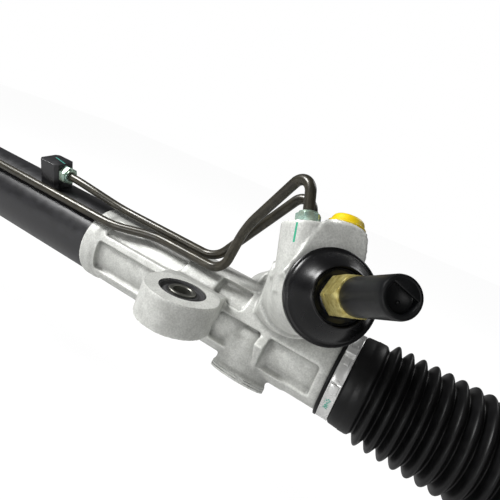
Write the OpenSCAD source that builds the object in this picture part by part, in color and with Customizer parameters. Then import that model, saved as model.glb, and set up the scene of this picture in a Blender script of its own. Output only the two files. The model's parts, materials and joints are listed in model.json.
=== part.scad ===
/* [Mounting ears] */
// Outer radius of a mounting ear
ear_r = 20.8; // [20:0.1:22]
// Height of an ear along its bolt
ear_h = 17.8; // [16:0.2:19]
// Outer radius of the rubber bush
bush_r = 13; // [11:0.1:14]
// Outer radius of the bush sleeve
sleeve_r = 7.4; // [7:0.1:8]
// Radius of the bolt hole in the sleeve
sleeve_bore_r = 5.1; // [4.5:0.1:5.6]
// Length of the bush sleeve
sleeve_l = 19; // [18:0.2:21]
// Distance from the bolt axis to the rack axis
ear_reach = 54; // [52:0.5:56]
// Height of the bolt centre above the rack axis
ear_lift = 10.9; // [10:0.1:12]
// Place of the far bracket along the rack
far_ear_x = -275; // [-280:1:-268]

/* [Cylinder and rack bar] */
// Outer radius of the cylinder tube
tube_r = 25; // [24.6:0.1:25.2]
// Wall thickness of the cylinder tube
tube_wall = 2.5; // [2:0.1:3]
// Radius of the rack bar
bar_r = 17; // [16.8:0.1:17]
// Travel of the rack bar to each side of the centre
stroke = 70; // [60:1:70]
// Pinion side end face of the housing, the stop of the travel
near_stop_x = 88; // [87:0.5:90]
// Far end face of the end stopper, the stop of the travel
far_stop_x = -382; // [-386:0.5:-380]
// Centre of the piston with the rack bar centred
piston_x = -240; // [-241:0.5:-239]

/* [Pinion and valve] */
// Distance between the pinion axis and the rack axis
pinion_offset = 24; // [23.8:0.1:24.2]
// Place of the pinion along the rack
pinion_x = 33.4; // [32:0.1:35]
// Angle of the pinion axis off the rack's cross-section
skew = 26; // [24:0.5:27]
// Angle of the valve tower above the level
tower_lean = 24; // [22:0.5:26]
// Gear module of the pinion
gear_m = 2.5; // [2.5]
// Number of pinion teeth
teeth = 8; // [8]
// Backlash between pinion and rack
backlash = 0.2; // [0.15:0.05:0.3]
// Radius of the dust cover
dust_r = 21.2; // [21:0.1:22]

/* [Fluid lines] */
// Radius of the steel pipes
pipe_r = 2.9; // [2.5:0.1:3]
// Bend radius of the pipes
bend_r = 7.5; // [7:0.1:7.6]

/* [Boots and tie rods] */
// Largest radius of the bellows
boot_r = 29.8; // [29:0.1:31]
// Radius at the root of the bellows
boot_root_r = 24.8; // [24:0.1:25.4]
// Distance from fold to fold
boot_pitch = 7.1; // [6.8:0.1:7.4]
// Number of folds in a boot
folds = 18; // [14:1:20]
// Wall thickness of a boot
boot_wall = 1.5; // [1.2:0.1:1.8]
// Radius of the tie rod ball
ball_r = 13; // [12.5:0.1:13.2]
// Radius of the tie rod thread, M14
thread_r = 7; // [6:0.5:7]
// Length of a tie rod from its ball to its tip
tie_l = 280; // [270:5:320]

/* [Hidden] */
$fn = 96;

// Play between parts that run in each other
run_gap = 0.05;
// Small overlap that fuses solids of one piece
eps = 0.01;
// Length that a straight leg of a pipe reaches into its bends
lap = 0.3;

// Housing, along the rack
tube_seat_x = -101;
tube_end_x = -91;
flange_r = tube_r + 1;
barrel_r = tube_r + 0.2;
pocket_depth = 2.6;
nose_r = tube_r - 0.6;
lip_x = 82.6;
bar_bore_r = bar_r + 1;
tube_bore_r = tube_r - tube_wall;
seal_r = tube_bore_r - 2;
inner_seal_x = tube_seat_x - 45;
stopper_x = far_stop_x + 20;

// Pinion frame distances, measured along the pinion axis from the mesh point
valve_bore_r = 16.5;
tower_r = 20.4;
tower_top = 86;
dust_face = 98;
tower_foot = -42;
port_turn = 23.3;
port_h = 36;
plug_h = port_h + 0.5;
boss_waist = 1;
boss_step = 0.4;
seat_depth = 0.3;
front_port = [-7.5, 66];
rear_port = [0.5, 46];
plug_port = [12.6, 66];
blue_port = [14.5, 47];

// Gear values
pitch_r = gear_m * teeth / 2;
shift = 0.5 * gear_m;
base_r = pitch_r * cos(20);
tip_r = 13;
root_r = 8.5;
rack_tip_y = pinion_offset - 8.85;
rack_root_y = pinion_offset - pitch_r - shift - 2.2;
datum_y = pinion_offset - pitch_r - shift;
pitch_x = PI * gear_m;

// Guide
guide_r = 14;
guide_end = 33.2;

// Fittings
block_l = 18.5;
block_w = 16;
block_h = 43.6;
near_block_x = -156.5;
far_block_x = -325;
near_block_turn = 18;
far_block_turn = 45.7;
nut_af = 13.5;

// Tie rods
near_ball_x = near_stop_x + stroke + 18;
far_ball_x = far_stop_x - stroke - 18;
seat_gap = run_gap;
socket_r = 20;
neck_r = 7;
rod_r = 8;
thread_root_r = thread_r - 0.8;
tab_t = 1.4;
boot_start = 107.7;

// Rack axis as the X axis, with the ear's bolt axis at the origin of the part
module rack_frame() {
    translate([0, ear_reach, -ear_lift]) children();
}

// X along the rack, Y from the rack axis to the pinion, Z up the tower
module mesh_frame() {
    rack_frame() rotate([90 - tower_lean, 0, 0]) children();
}

// Z along the pinion axis
module pinion_frame() {
    mesh_frame() translate([pinion_x, pinion_offset, 0]) rotate([0, skew, 0]) children();
}

// X across the ports, Y out of the ports, Z along the pinion axis
module port_frame() {
    pinion_frame() rotate([0, 0, port_turn]) children();
}

// Looking out along the guide boss from the rack axis
module guide_frame() {
    mesh_frame() translate([pinion_x, 0, 0]) rotate([90, 0, 0]) children();
}

// Solid cylinder along the rack from x0 to x1
module bar_x(x0, x1, r) {
    translate([x0, 0, 0]) rotate([0, 90, 0]) cylinder(h = x1 - x0, r = r);
}

// Tube along the rack
module ring_x(x0, x1, r_out, r_in) {
    difference() {
        bar_x(x0, x1, r_out);
        bar_x(x0 - 1, x1 + 1, r_in);
    }
}

// Cylinder between two heights
module post(z0, z1, r) {
    translate([0, 0, z0]) cylinder(h = z1 - z0, r = r);
}

// Cone between two heights
module taper(z0, z1, r0, r1) {
    translate([0, 0, z0]) cylinder(h = z1 - z0, r1 = r0, r2 = r1);
}

// Ring between two heights
module washer(z0, z1, r_out, r_in) {
    difference() {
        post(z0, z1, r_out);
        post(z0 - 1, z1 + 1, r_in);
    }
}

// Hexagonal prism across flats af
module hex(z0, z1, af) {
    translate([0, 0, z0]) cylinder(h = z1 - z0, r = af / sqrt(3), $fn = 6);
}

// Revolved outline whose points are radius and place along the rack
module turned_x(points) {
    rotate([0, 90, 0]) rotate_extrude() polygon(points);
}

// Boss across the ports, two round ends of height h and a waist between them
module port_boss(a, b, r, h) {
    run = b - a;
    length = norm(run);
    for (p = [a, b])
        translate([p[0], 0, p[1]]) rotate([-90, 0, 0]) cylinder(h = h, r = r);
    translate([a[0], 0, a[1]]) rotate([0, -atan2(run[1], run[0]), 0])
        translate([0, 0, -r + boss_waist]) cube([length, h - boss_step, 2 * (r - boss_waist)]);
}

// Hole from the top of a boss down into the valve bore
module port_hole(p, r) {
    translate([p[0], 5, p[1]]) rotate([-90, 0, 0]) cylinder(h = port_h, r = r);
}

// Round face that a flare nut sits on
module nut_seat(p) {
    translate([p[0], port_h - seat_depth, p[1]]) rotate([-90, 0, 0]) cylinder(h = 5, r = nut_af / 2 + 1.5);
}

// Outside of the casting
module housing_outside() {
    rack_frame() {
        bar_x(tube_seat_x, tube_seat_x + 8, flange_r);
        bar_x(tube_seat_x + 8 - eps, 60, barrel_r);
        bar_x(60 - eps, 81.5, barrel_r - 0.7);
        bar_x(81.5 - eps, near_stop_x, nose_r);
        rotate([-31, 0, 0]) translate([tube_seat_x + 4, -barrel_r - 0.9, -1.1]) cube([118, 4, 2.2]);
        translate([-24, -35, ear_lift - ear_h / 2 + 1]) cube([48, 30, ear_h - 3.6]);
        rotate([24, 0, 0]) translate([43.3, -27, -21]) cube([2.4, 12, 24]);
    }
    pinion_frame() {
        post(tower_foot, 8, tower_r - 1.4);
        post(8 - eps, 41, tower_r + 1.8);
        post(41 - eps, 80, tower_r);
        post(80 - eps, tower_top, dust_r - 2.1);
    }
    port_frame() {
        port_boss(front_port, rear_port, 12.6, port_h);
        port_boss(plug_port, blue_port, 11.8, plug_h);
    }
    guide_frame() {
        post(8, guide_end - 4, guide_r + 2.7);
        taper(guide_end - 5, guide_end - 3.2, guide_r + 2.7, guide_r + 4.2);
        post(guide_end - 3.2, guide_end - 0.8, guide_r + 4.2);
        taper(guide_end - 0.8, guide_end, guide_r + 4.2, guide_r + 3.4);
    }
    ear_outside();
}

// Drafted ear barrel with its machined face and the arm that carries it
module ear_outside() {
    translate([0, 0, -ear_h / 2]) {
        taper(0, ear_h - 1.2, ear_r + 0.2, ear_r - 0.1);
        taper(ear_h - 1.2 - eps, ear_h, ear_r - 0.1, ear_r - 1.3);
    }
    translate([0, 0, -ear_h / 2 + 1]) linear_extrude(height = ear_h - 3.6)
        polygon([[-ear_r + 0.3, 0], [ear_r - 0.3, 0], [27, ear_reach - 21], [-27, ear_reach - 21]]);
}

// Recess in the front of the barrel between two angles above the level
module pocket(x0, x1, low, high) {
    translate([x0, 0, 0]) rotate([90, 0, 90]) rotate([0, 0, 180 - high])
        rotate_extrude(angle = high - low) translate([barrel_r - pocket_depth, 0])
            square([10, x1 - x0]);
}

// Cast pockets between the rails on the front of the casting
module housing_pockets() {
    rack_frame() {
        pocket(-88, -34, -30, 18);
        pocket(8, 17, -30, 17);
        pocket(50, 76, -30, 17);
        pocket(-84, -26, 38, 58);
    }
}

module rack_housing() {
    color("#c9cac6") difference() {
        housing_outside();
        housing_pockets();
        post(-ear_h, ear_h, bush_r);
        rack_frame() {
            bar_x(tube_seat_x - 1, tube_end_x, tube_r);
            bar_x(tube_end_x - 1, near_stop_x + 1, bar_bore_r);
        }
        pinion_frame() {
            post(-15, 16, tip_r + 0.4);
            post(-26, -15 + eps, 13.5);
            post(tower_foot - 1, -26 + eps, 15);
            post(16 - eps, 32, 10);
            post(32 - eps, tower_top + 1, valve_bore_r);
        }
        port_frame() {
            port_hole(front_port, 5);
            port_hole(rear_port, 5);
            port_hole(plug_port, 6);
            port_hole(blue_port, 4.2);
            nut_seat(front_port);
            nut_seat(rear_port);
        }
        guide_frame() post(5, guide_end + 1, guide_r);
    }
}

module cylinder_tube() {
    color("#1b1b1d") rack_frame() difference() {
        ring_x(stopper_x, tube_end_x, tube_r, tube_bore_r);
        block_frame(near_block_x, near_block_turn) post(10, 40, 3);
        block_frame(far_block_x, far_block_turn) post(10, 40, 3);
    }
}

module end_stopper() {
    color("#8f9296") rack_frame() difference() {
        union() {
            bar_x(stopper_x, stopper_x + 28, tube_bore_r);
            bar_x(far_stop_x, stopper_x + eps, nose_r);
        }
        bar_x(far_stop_x - 1, stopper_x + 2, bar_bore_r);
        bar_x(stopper_x + 1, stopper_x + 32, bar_r + run_gap);
        bar_x(stopper_x + 17, stopper_x + 29, seal_r);
        bar_x(stopper_x, stopper_x + 12, seal_r);
    }
}

// Space between two rack teeth, in the pinion's cross-section
module tooth_space() {
    half_top = pitch_x / 4 + backlash / 2 + (rack_tip_y + 1 - datum_y) * tan(20);
    half_root = pitch_x / 4 + backlash / 2 - (datum_y - rack_root_y) * tan(20);
    polygon([[-half_root, rack_root_y], [half_root, rack_root_y],
        [half_top, rack_tip_y + 1], [-half_top, rack_tip_y + 1]]);
}

module rack_bar() {
    color("#b9bcc0") difference() {
        rack_frame() bar_x(far_ball_x + 18 + tab_t, near_ball_x - 18 - tab_t, bar_r);
        mesh_frame() translate([pinion_x - 92, rack_tip_y, -20]) cube([184, 10, 40]);
        mesh_frame() translate([pinion_x, 0, 0]) rotate([0, skew, 0])
            for (n = [-10:10])
                translate([n * pitch_x, 0, n * pitch_x * tan(skew) - 30])
                    linear_extrude(height = 60) tooth_space();
        rack_frame() {
            bar_x(near_ball_x - 40, near_ball_x, 8);
            bar_x(far_ball_x, far_ball_x + 40, 8);
        }
    }
}

module piston() {
    color("#c2c5c8") rack_frame() difference() {
        ring_x(piston_x - 8, piston_x + 8, tube_bore_r - 0.4, bar_r);
        ring_x(piston_x - 3, piston_x + 3, tube_bore_r + 1, tube_bore_r - 2.6);
    }
}

module piston_ring() {
    color("#3a2f28") rack_frame()
        ring_x(piston_x - 2.9, piston_x + 2.9, tube_bore_r - run_gap, tube_bore_r - 2.6);
}

module inner_rod_seal() {
    color("#202020") rack_frame() {
        difference() {
            ring_x(inner_seal_x, inner_seal_x + 10, tube_bore_r, bar_r + run_gap);
            translate([inner_seal_x, 0, 0])
                turned_x([[bar_r - 1, -1], [bar_r + 3.2, -1], [bar_r + 2.2, 4], [bar_r - 1, 4]]);
        }
    }
}

module end_rod_seal() {
    color("#202020") rack_frame() ring_x(stopper_x + 17, stopper_x + 26, seal_r, bar_r + run_gap);
}

module end_bushing() {
    color("#d8cfae") rack_frame() ring_x(stopper_x + 0.1, stopper_x + 12, seal_r, bar_r + run_gap);
}

// Bonded rubber between an ear and its sleeve
module bush_rubber() {
    color("#2b2c2e") difference() {
        translate([0, 0, -ear_h / 2 + 0.6]) cylinder(h = ear_h - 1.2, r = bush_r);
        cylinder(h = 60, r = sleeve_r, center = true);
        for (side = [0, 1]) mirror([0, 0, side])
            translate([0, 0, ear_h / 2 - 1.8]) difference() {
                cylinder(h = 4, r = 11.4);
                translate([0, 0, -1]) cylinder(h = 6, r = 8.7);
            }
    }
}

module bush_sleeve() {
    color("#8b8d88") difference() {
        cylinder(h = sleeve_l, r = sleeve_r, center = true);
        cylinder(h = sleeve_l + 2, r = sleeve_bore_r, center = true);
        for (side = [0, 1]) mirror([0, 0, side])
            translate([0, 0, sleeve_l / 2 - 0.8]) taper(0, 0.9, sleeve_bore_r, sleeve_bore_r + 0.9);
    }
}

module near_bush_rubber() { bush_rubber(); }
module near_bush_sleeve() { bush_sleeve(); }
module far_bush_rubber() { translate([far_ear_x, 0, 0]) bush_rubber(); }
module far_bush_sleeve() { translate([far_ear_x, 0, 0]) bush_sleeve(); }

module far_bracket() {
    color("#1b1b1d") difference() {
        union() {
            translate([far_ear_x, 0, -ear_h / 2]) cylinder(h = ear_h, r = bush_r + 3.4);
            translate([far_ear_x - 15, 8, -ear_h / 2 + 2]) cube([30, ear_reach - 8 - 22, 11]);
            rack_frame() rotate([30, 0, 0]) intersection() {
                ring_x(far_ear_x - 19, far_ear_x + 19, tube_r + 3, tube_r);
                translate([far_ear_x - 20, -40, -17]) cube([40, 40, 38]);
            }
        }
        translate([far_ear_x, 0, 0]) cylinder(h = 60, r = bush_r, center = true);
        rack_frame() bar_x(far_ear_x - 30, far_ear_x + 30, tube_r);
    }
}

// Z out of the tube where a port block stands
module block_frame(x, turn) {
    translate([x, 0, 0]) rotate([turn, 0, 0]) children();
}

// Steel block with the flare seat on its pinion side
module port_block(x, turn, nut_h, top) {
    rack_frame() difference() {
        block_frame(x, turn) intersection() {
            translate([-block_l / 2, -block_w / 2, 20]) cube([block_l, block_w, top - 20]);
            rotate([0, 0, 45]) translate([-10.4, -10.4, 15]) cube([20.8, 20.8, 40]);
        }
        bar_x(x - 20, x + 20, tube_r);
        block_frame(x, turn) {
            post(20, nut_h, 3);
            translate([0, 0, nut_h]) rotate([0, 90, 0]) cylinder(h = 20, r = 3);
            translate([block_l / 2 - 8, 0, nut_h]) rotate([0, 90, 0]) cylinder(h = 10, r = 5);
        }
    }
}

module near_port_block() {
    color("#141416") port_block(near_block_x, near_block_turn, 36, block_h);
}

module far_port_block() {
    color("#141416") port_block(far_block_x, far_block_turn, 33, block_h - 2.5);
}

// Directions and bend data of a pipe's route
function dir(a, b) = (b - a) / norm(b - a);
function bend_set(a, b, c) = bend_r * tan(acos(max(-1, min(1, dir(a, b) * dir(b, c)))) / 2);

// Straight rod between two points
module rod(a, b, r) {
    d = b - a;
    translate(a) rotate([0, acos(d[2] / norm(d)), atan2(d[1], d[0])]) cylinder(h = norm(d), r = r, $fn = 32);
}

// Round bend at b between the legs from a and to c
module bend(a, b, c, r) {
    u = dir(a, b);
    v = dir(b, c);
    turn = acos(u * v);
    normal = cross(u, v) / norm(cross(u, v));
    side = cross(normal, u);
    start = b - u * bend_set(a, b, c);
    centre = start + side * bend_r;
    multmatrix([[-side[0], u[0], normal[0], centre[0]], [-side[1], u[1], normal[1], centre[1]],
        [-side[2], u[2], normal[2], centre[2]], [0, 0, 0, 1]])
        rotate_extrude(angle = turn, $fn = 48) translate([bend_r, 0]) circle(r = r, $fn = 32);
}

// Pipe along route points with round bends
module pipe(points) {
    last = len(points) - 1;
    for (i = [0:last - 1]) {
        a = points[i];
        b = points[i + 1];
        cut_a = i == 0 ? 0 : bend_set(points[i - 1], a, b);
        cut_b = i == last - 1 ? 0 : bend_set(a, b, points[i + 2]);
        lap_a = i == 0 ? 0 : lap;
        lap_b = i == last - 1 ? 0 : lap;
        rod(a + dir(a, b) * (cut_a - lap_a), b - dir(a, b) * (cut_b - lap_b), pipe_r);
    }
    for (i = [1:last - 1])
        bend(points[i - 1], points[i], points[i + 1], pipe_r + lap / 12);
}

// Port boss point in the rack frame, h out along the port
function tower_turn(v) = let (c = cos(port_turn), s = sin(port_turn),
    p = [c * v[0] - s * v[1], s * v[0] + c * v[1], v[2]],
    q = [cos(skew) * p[0] + sin(skew) * p[2] + pinion_x, p[1] + pinion_offset,
        -sin(skew) * p[0] + cos(skew) * p[2]],
    k = 90 - tower_lean)
    [q[0], cos(k) * q[1] - sin(k) * q[2], sin(k) * q[1] + cos(k) * q[2]];
function port_point(p, h) = tower_turn([p[0], h, p[1]]);

// Point on a block's flare seat axis
function block_point(x, turn, h) = [x, -sin(turn) * h, cos(turn) * h];

long_route = [port_point(front_port, port_h - 3), port_point(front_port, port_h + 27),
    [6.3, -20.8, 57.5], [0.8, -17.6, 26.4], [-53, -14.3, 25.6], [-83, -21, 20.4],
    [-283, -21, 20.4], block_point(-299, far_block_turn, 33), block_point(-319, far_block_turn, 33)];
short_route = [port_point(rear_port, port_h - 3), port_point(rear_port, port_h + 23),
    [-10.5, -8.5, 29.2], [-92, -7.3, 29.2], block_point(-117, near_block_turn, 34.2),
    block_point(-135, near_block_turn, 36), block_point(-151, near_block_turn, 36)];

module long_pipe() {
    color("#23231c") rack_frame() pipe(long_route);
}

module short_pipe() {
    color("#23231c") rack_frame() pipe(short_route);
}

// Flare nut, Z out of its port
module flare_nut() {
    difference() {
        union() {
            hex(0, 8, nut_af);
            taper(8 - eps, 9.2, nut_af / 2, nut_af / 2 - 1.2);
            post(-6, eps, 4.9);
        }
        post(-8, 12, pipe_r);
    }
}

module flare_nuts() {
    color("#9fb5a8") {
        port_frame() for (p = [front_port, rear_port])
            translate([p[0], port_h - seat_depth, p[1]]) rotate([-90, 0, 0]) flare_nut();
        rack_frame() {
            block_frame(near_block_x, near_block_turn) translate([block_l / 2, 0, 36])
                rotate([0, 90, 0]) flare_nut();
            block_frame(far_block_x, far_block_turn) translate([block_l / 2, 0, 33])
                rotate([0, 90, 0]) flare_nut();
        }
    }
}

// Ring cover with a rounded front edge, over the top of the tower
module dust_cover() {
    color("#101011") pinion_frame() rotate_extrude() difference() {
        union() {
            translate([0, 80.1]) square([dust_r, 12.4]);
            translate([0, 92.5 - eps]) polygon([[0, 0], [dust_r, 0], [dust_r - 2.2, 3.4],
                [dust_r - 5.2, 5.1], [dust_r - 7.4, dust_face - 92.5], [0, dust_face - 92.5]]);
        }
        square([12.3, 120]);
        square([dust_r - 2.1, 91]);
        translate([0, 90.9]) polygon([[0, 0], [dust_r - 2.1, 0], [12.4, 4.6], [0, 4.6]]);
    }
}

module input_seal() {
    color("#151516") pinion_frame() difference() {
        union() {
            post(82.1, 88, valve_bore_r);
            post(88 - eps, 94.5, 11.2);
        }
        post(80, 96, 7 + run_gap);
        taper(92, 94.6, 7, 9.4);
    }
}

// Ball bearing with grooved rings and free balls
module bearing(z0, z1, r_out, r_in, count) {
    mid = (r_out + r_in) / 2;
    gap = (r_out - r_in) * 0.14;
    groove = gap + 0.9;
    difference() {
        union() {
            washer(z0, z1, r_out, mid + gap);
            washer(z0, z1, mid - gap, r_in);
        }
        translate([0, 0, (z0 + z1) / 2]) rotate_extrude() translate([mid, 0])
            circle(r = groove, $fn = 48);
    }
    for (n = [0:count - 1])
        rotate([0, 0, n * 360 / count]) translate([mid, 0, (z0 + z1) / 2])
            sphere(r = groove - run_gap, $fn = 32);
}

module upper_bearing() {
    color("#aeb1b5") pinion_frame() bearing(73, 82, valve_bore_r, 7 + run_gap, 11);
}

module lower_bearing() {
    color("#aeb1b5") pinion_frame() bearing(-26, -17, 13.5, 6 + run_gap, 9);
}

module input_shaft() {
    color("#9a9da1") pinion_frame() difference() {
        union() {
            post(37.5, 39.7, 5.4);
            post(39.6, 70, 9);
            post(70 - eps, 97, 7);
            post(97 - eps, 139, 5.8);
            for (n = [0:23]) rotate([0, 0, n * 15])
                translate([5.6, -0.3, 113]) cube([0.7, 0.6, 24]);
        }
        post(30, 120, 3);
        for (n = [0:5]) rotate([0, 0, n * 60]) translate([8.2, -1, 42]) cube([2, 2, 24]);
        translate([-10, 0, 134]) rotate([0, 90, 0]) cylinder(h = 20, r = 1.2, $fn = 24);
    }
}

module hex_collar() {
    color("#b9a84a") pinion_frame() difference() {
        union() {
            hex(97, 108.5, 15.6);
            intersection() {
                hex(108.5 - eps, 111.4, 15.6);
                taper(108.4, 111.5, 9.1, 7.5);
            }
        }
        post(96, 112, 5.8);
    }
}

// Plastic cap over the splines, with a beak cut into its hollow end
module spline_cap() {
    color("#0f0f10") pinion_frame() difference() {
        union() {
            taper(111.6, 134, 7.3, 7);
            post(133, 145, 7.2);
        }
        post(111, 139.2, 6.5);
        translate([0, 0, 139.9]) cylinder(h = 6, r = 5.6);
        rotate([0, 0, -40]) translate([-0.5, -10, 139.9]) rotate([0, 24, 0]) cube([12, 20, 12]);
    }
}

module torsion_bar() {
    color("#8d9094") pinion_frame() {
        post(-6, 119, 2.3);
        post(-6, 10, 3);
        post(110, 119, 3 - run_gap);
    }
}

module valve_sleeve() {
    color("#a4a7aa") pinion_frame() difference() {
        union() {
            washer(36, 70, valve_bore_r - 0.5, 9 + run_gap);
            washer(36, 39.5, valve_bore_r - 0.5, 8.4);
        }
        for (z = [38.5, 49.5, 58, 66.5]) washer(z, z + 2.2, valve_bore_r + 1, valve_bore_r - 2);
        for (z = [45, 54, 63], n = [0:2])
            translate([0, 0, z]) rotate([0, 0, n * 120]) rotate([0, 90, 0]) cylinder(h = 20, r = 1.6);
    }
}

module sleeve_rings() {
    color("#6d5a35") pinion_frame()
        for (z = [38.6, 49.6, 58.1, 66.6]) washer(z, z + 2, valve_bore_r - run_gap, valve_bore_r - 2);
}

// Point of an involute at a radius, as radius and angle from the tooth's middle
function inv(a) = tan(a) * 180 / PI - a;
function half_tooth(r) = let (half = (PI / 2 + 2 * 0.5 * tan(20)) * gear_m / (2 * pitch_r) * 180 / PI)
    half + inv(20) - inv(acos(min(1, base_r / r)));
flank_r = [for (k = [0:6]) base_r + (tip_r - base_r) * k / 6];
function tooth_points(mid) = concat(
    [[root_r * cos(mid - half_tooth(base_r) + 0.5), root_r * sin(mid - half_tooth(base_r) + 0.5)]],
    [for (r = flank_r) [r * cos(mid - half_tooth(r)), r * sin(mid - half_tooth(r))]],
    [for (k = [6:-1:0]) let (r = flank_r[k]) [r * cos(mid + half_tooth(r)), r * sin(mid + half_tooth(r))]],
    [[root_r * cos(mid + half_tooth(base_r) - 0.5), root_r * sin(mid + half_tooth(base_r) - 0.5)]]);

module pinion() {
    color("#b4b7ba") pinion_frame() difference() {
        union() {
            translate([0, 0, -13]) linear_extrude(height = 27)
                polygon([for (n = [0:teeth - 1]) each tooth_points(-90 + n * 360 / teeth)]);
            post(-33, -12.9, 6);
            post(13.9, 39.4, 8.4);
            post(17, 31.9, 9.9);
        }
        post(-7, 37, 3);
        post(36.9, 40, 8.4 - 2.9);
    }
}

module pinion_nut() {
    color("#a3a09a") pinion_frame() difference() {
        hex(-33, -26.2, 19);
        post(-34, -25, 6);
    }
}

module bottom_cap() {
    color("#a9a6a0") pinion_frame() difference() {
        union() {
            post(tower_foot + 0.1, -34, 15);
            washer(-34 - eps, -26.6, 15, 13.3);
            hex(tower_foot - 4, tower_foot + 0.2, 24);
        }
        post(-36, -30, 11.4);
    }
}

module rack_guide() {
    color("#b7b8b4") guide_frame() difference() {
        post(8, 24, guide_r - run_gap);
        rotate([-90, 0, 0]) rotate([0, 90, 0]) cylinder(h = 60, r = bar_r + 0.55, center = true);
        post(20, 25, 4);
    }
}

module guide_liner() {
    color("#7d6a3c") guide_frame() intersection() {
        post(5, 20, 12);
        rotate([-90, 0, 0]) rotate([0, 90, 0]) difference() {
            cylinder(h = 60, r = bar_r + 0.55, center = true);
            cylinder(h = 62, r = bar_r + run_gap, center = true);
        }
    }
}

// Conical spring washers that press the guide on the rack bar
module guide_spring() {
    color("#5f6265") guide_frame() rotate_extrude()
        polygon([[4.5, 24.05], [5.5, 24.05], [11.6, 26.8], [11.6, 27.85], [10.6, 27.85], [4.5, 25.2]]);
}

module guide_plug() {
    color("#8e9194") guide_frame() difference() {
        post(27.9, guide_end - 1.2, guide_r);
        hex(guide_end - 4, guide_end, 14);
    }
}

// Push-in shipping plug with a grip rim
module port_plug(p, r, h, hole) {
    port_frame() translate([p[0], plug_h, p[1]]) rotate([-90, 0, 0]) {
        post(0.05, 1.6, r);
        taper(1.6 - eps, h, r - 0.7, r - 1.6);
        post(-5, eps + 0.05, hole);
    }
}

module yellow_port_plug() {
    color("#e6cf1c") port_plug(plug_port, 9.6, 5.4, 5.9);
}

module blue_port_plug() {
    color("#3a5f93") port_plug(blue_port, 5.4, 6.4, 4.1);
}

// Outline of a boot's outer or inner skin, from its mouth
function fold_points(grow) = [for (n = [0:folds - 1], k = [0:3])
    [(k == 0 || k == 1 ? boot_r : boot_root_r) + grow - (n > folds - 3 ? (n - folds + 3) * 3 : 0),
     boot_start + n * boot_pitch + [-1.3, 1.3, 2.7, 4.4][k]]];
boot_end = boot_start + folds * boot_pitch;
function reverse_list(v) = [for (i = [len(v) - 1:-1:0]) v[i]];

module boot_body() {
    outer = concat([[25.9, lip_x], [26.3, lip_x + 0.8], [25.4, lip_x + 1.4], [25.4, 92.8],
        [27.4, 94], [27.9, 102.5], [25.6, 104.6]], fold_points(0),
        [[14, boot_end + 2], [rod_r + 3, boot_end + 5], [rod_r + 2.6, boot_end + 16]]);
    inner = concat([[nose_r, lip_x], [nose_r, 92.8], [26.2, 94.4], [26.3, 102],
        [24.3, 104.6]], fold_points(-boot_wall),
        [[12.6, boot_end + 3], [rod_r + 0.05, boot_end + 7], [rod_r + 0.05, boot_end + 16]]);
    rotate([0, 90, 0]) rotate_extrude() polygon(concat([for (p = outer) p],
        reverse_list([for (p = inner) p])));
}

// The same piece at the far end, mirrored
module at_far_end() {
    rack_frame() translate([near_stop_x + far_stop_x, 0, 0]) mirror([1, 0, 0]) children();
}

module near_boot() { color("#141415") rack_frame() boot_body(); }
module far_boot() { color("#141415") at_far_end() boot_body(); }

// Stainless band with its folded lock
module band_clamp() {
    ring_x(84, 92.2, 26.1, 25.42);
    rotate([62, 0, 0]) translate([84.6, -3.5, 25.9]) cube([7, 7, 2.4]);
    rotate([62, 0, 0]) translate([85.6, -8, 25.6]) cube([5, 5, 1.5]);
}

module near_clamp() { color("#b6b8ba") rack_frame() band_clamp(); }
module far_clamp() { color("#b6b8ba") at_far_end() band_clamp(); }

// Spring wire clip on the small end of a boot
module wire_clip() {
    rotate([0, 90, 0]) translate([0, 0, boot_end + 11]) rotate_extrude() translate([rod_r + 3.93, 0])
        circle(r = 1.1, $fn = 48);
    for (side = [-1, 1]) rotate([side * 12, 0, 0])
        translate([boot_end + 10.2, -0.8, rod_r + 3.2]) cube([1.6, 1.6, 9]);
}

module near_clip() { color("#9c9ea1") rack_frame() wire_clip(); }
module far_clip() { color("#9c9ea1") at_far_end() wire_clip(); }

// Ball on the rack axis, with its poles along the rack
module ball_at(x, r) {
    translate([x, 0, 0]) rotate([0, 90, 0]) sphere(r = r);
}

// Socket that holds the ball seat, screwed into the rack bar
module ball_socket() {
    face = near_ball_x - 18;
    difference() {
        union() {
            bar_x(face, near_ball_x + 14, socket_r);
            bar_x(face - 22, face + eps, 8);
        }
        ball_at(near_ball_x, ball_r + 2.1);
        translate([near_ball_x + 7, 0, 0]) rotate([0, 90, 0]) cylinder(h = 8, r1 = 13.4, r2 = 17.6);
        for (side = [-1, 1]) translate([face + 4, side > 0 ? 17.5 : -27.5, -15]) cube([9, 10, 30]);
    }
}

module near_socket() { color("#6e7073") rack_frame() ball_socket(); }
module far_socket() { color("#6e7073") at_far_end() ball_socket(); }

module ball_seat() {
    difference() {
        ball_at(near_ball_x, ball_r + 2);
        ball_at(near_ball_x, ball_r + seat_gap);
        translate([near_ball_x + 7, -20, -20]) cube([20, 40, 40]);
    }
}

module near_ball_seat() { color("#d9d6c8") rack_frame() ball_seat(); }
module far_ball_seat() { color("#d9d6c8") at_far_end() ball_seat(); }

module tie_rod() {
    tip = near_ball_x + tie_l;
    ball_at(near_ball_x, ball_r);
    bar_x(near_ball_x + 8, near_ball_x + 24, neck_r);
    bar_x(near_ball_x + 24 - eps, tip - 68, rod_r);
    bar_x(tip - 68 - eps, tip - 55, thread_r);
    bar_x(tip - 55 - eps, tip - 46 + eps, thread_root_r);
    bar_x(tip - 46, tip - 1.5, thread_r);
    translate([tip - 1.5 - eps, 0, 0]) rotate([0, 90, 0]) cylinder(h = 1.5, r1 = thread_r, r2 = thread_r - 1.4);
}

module near_tie_rod() { color("#3b3c3d") rack_frame() tie_rod(); }
module far_tie_rod() { color("#3b3c3d") at_far_end() tie_rod(); }

// Tabbed washer between a socket and the rack bar
module lock_washer() {
    face = near_ball_x - 18;
    ring_x(face - tab_t, face, 16.8, 8);
}

module near_lock_washer() { color("#9a9c9f") rack_frame() lock_washer(); }
module far_lock_washer() { color("#9a9c9f") at_far_end() lock_washer(); }

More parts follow.
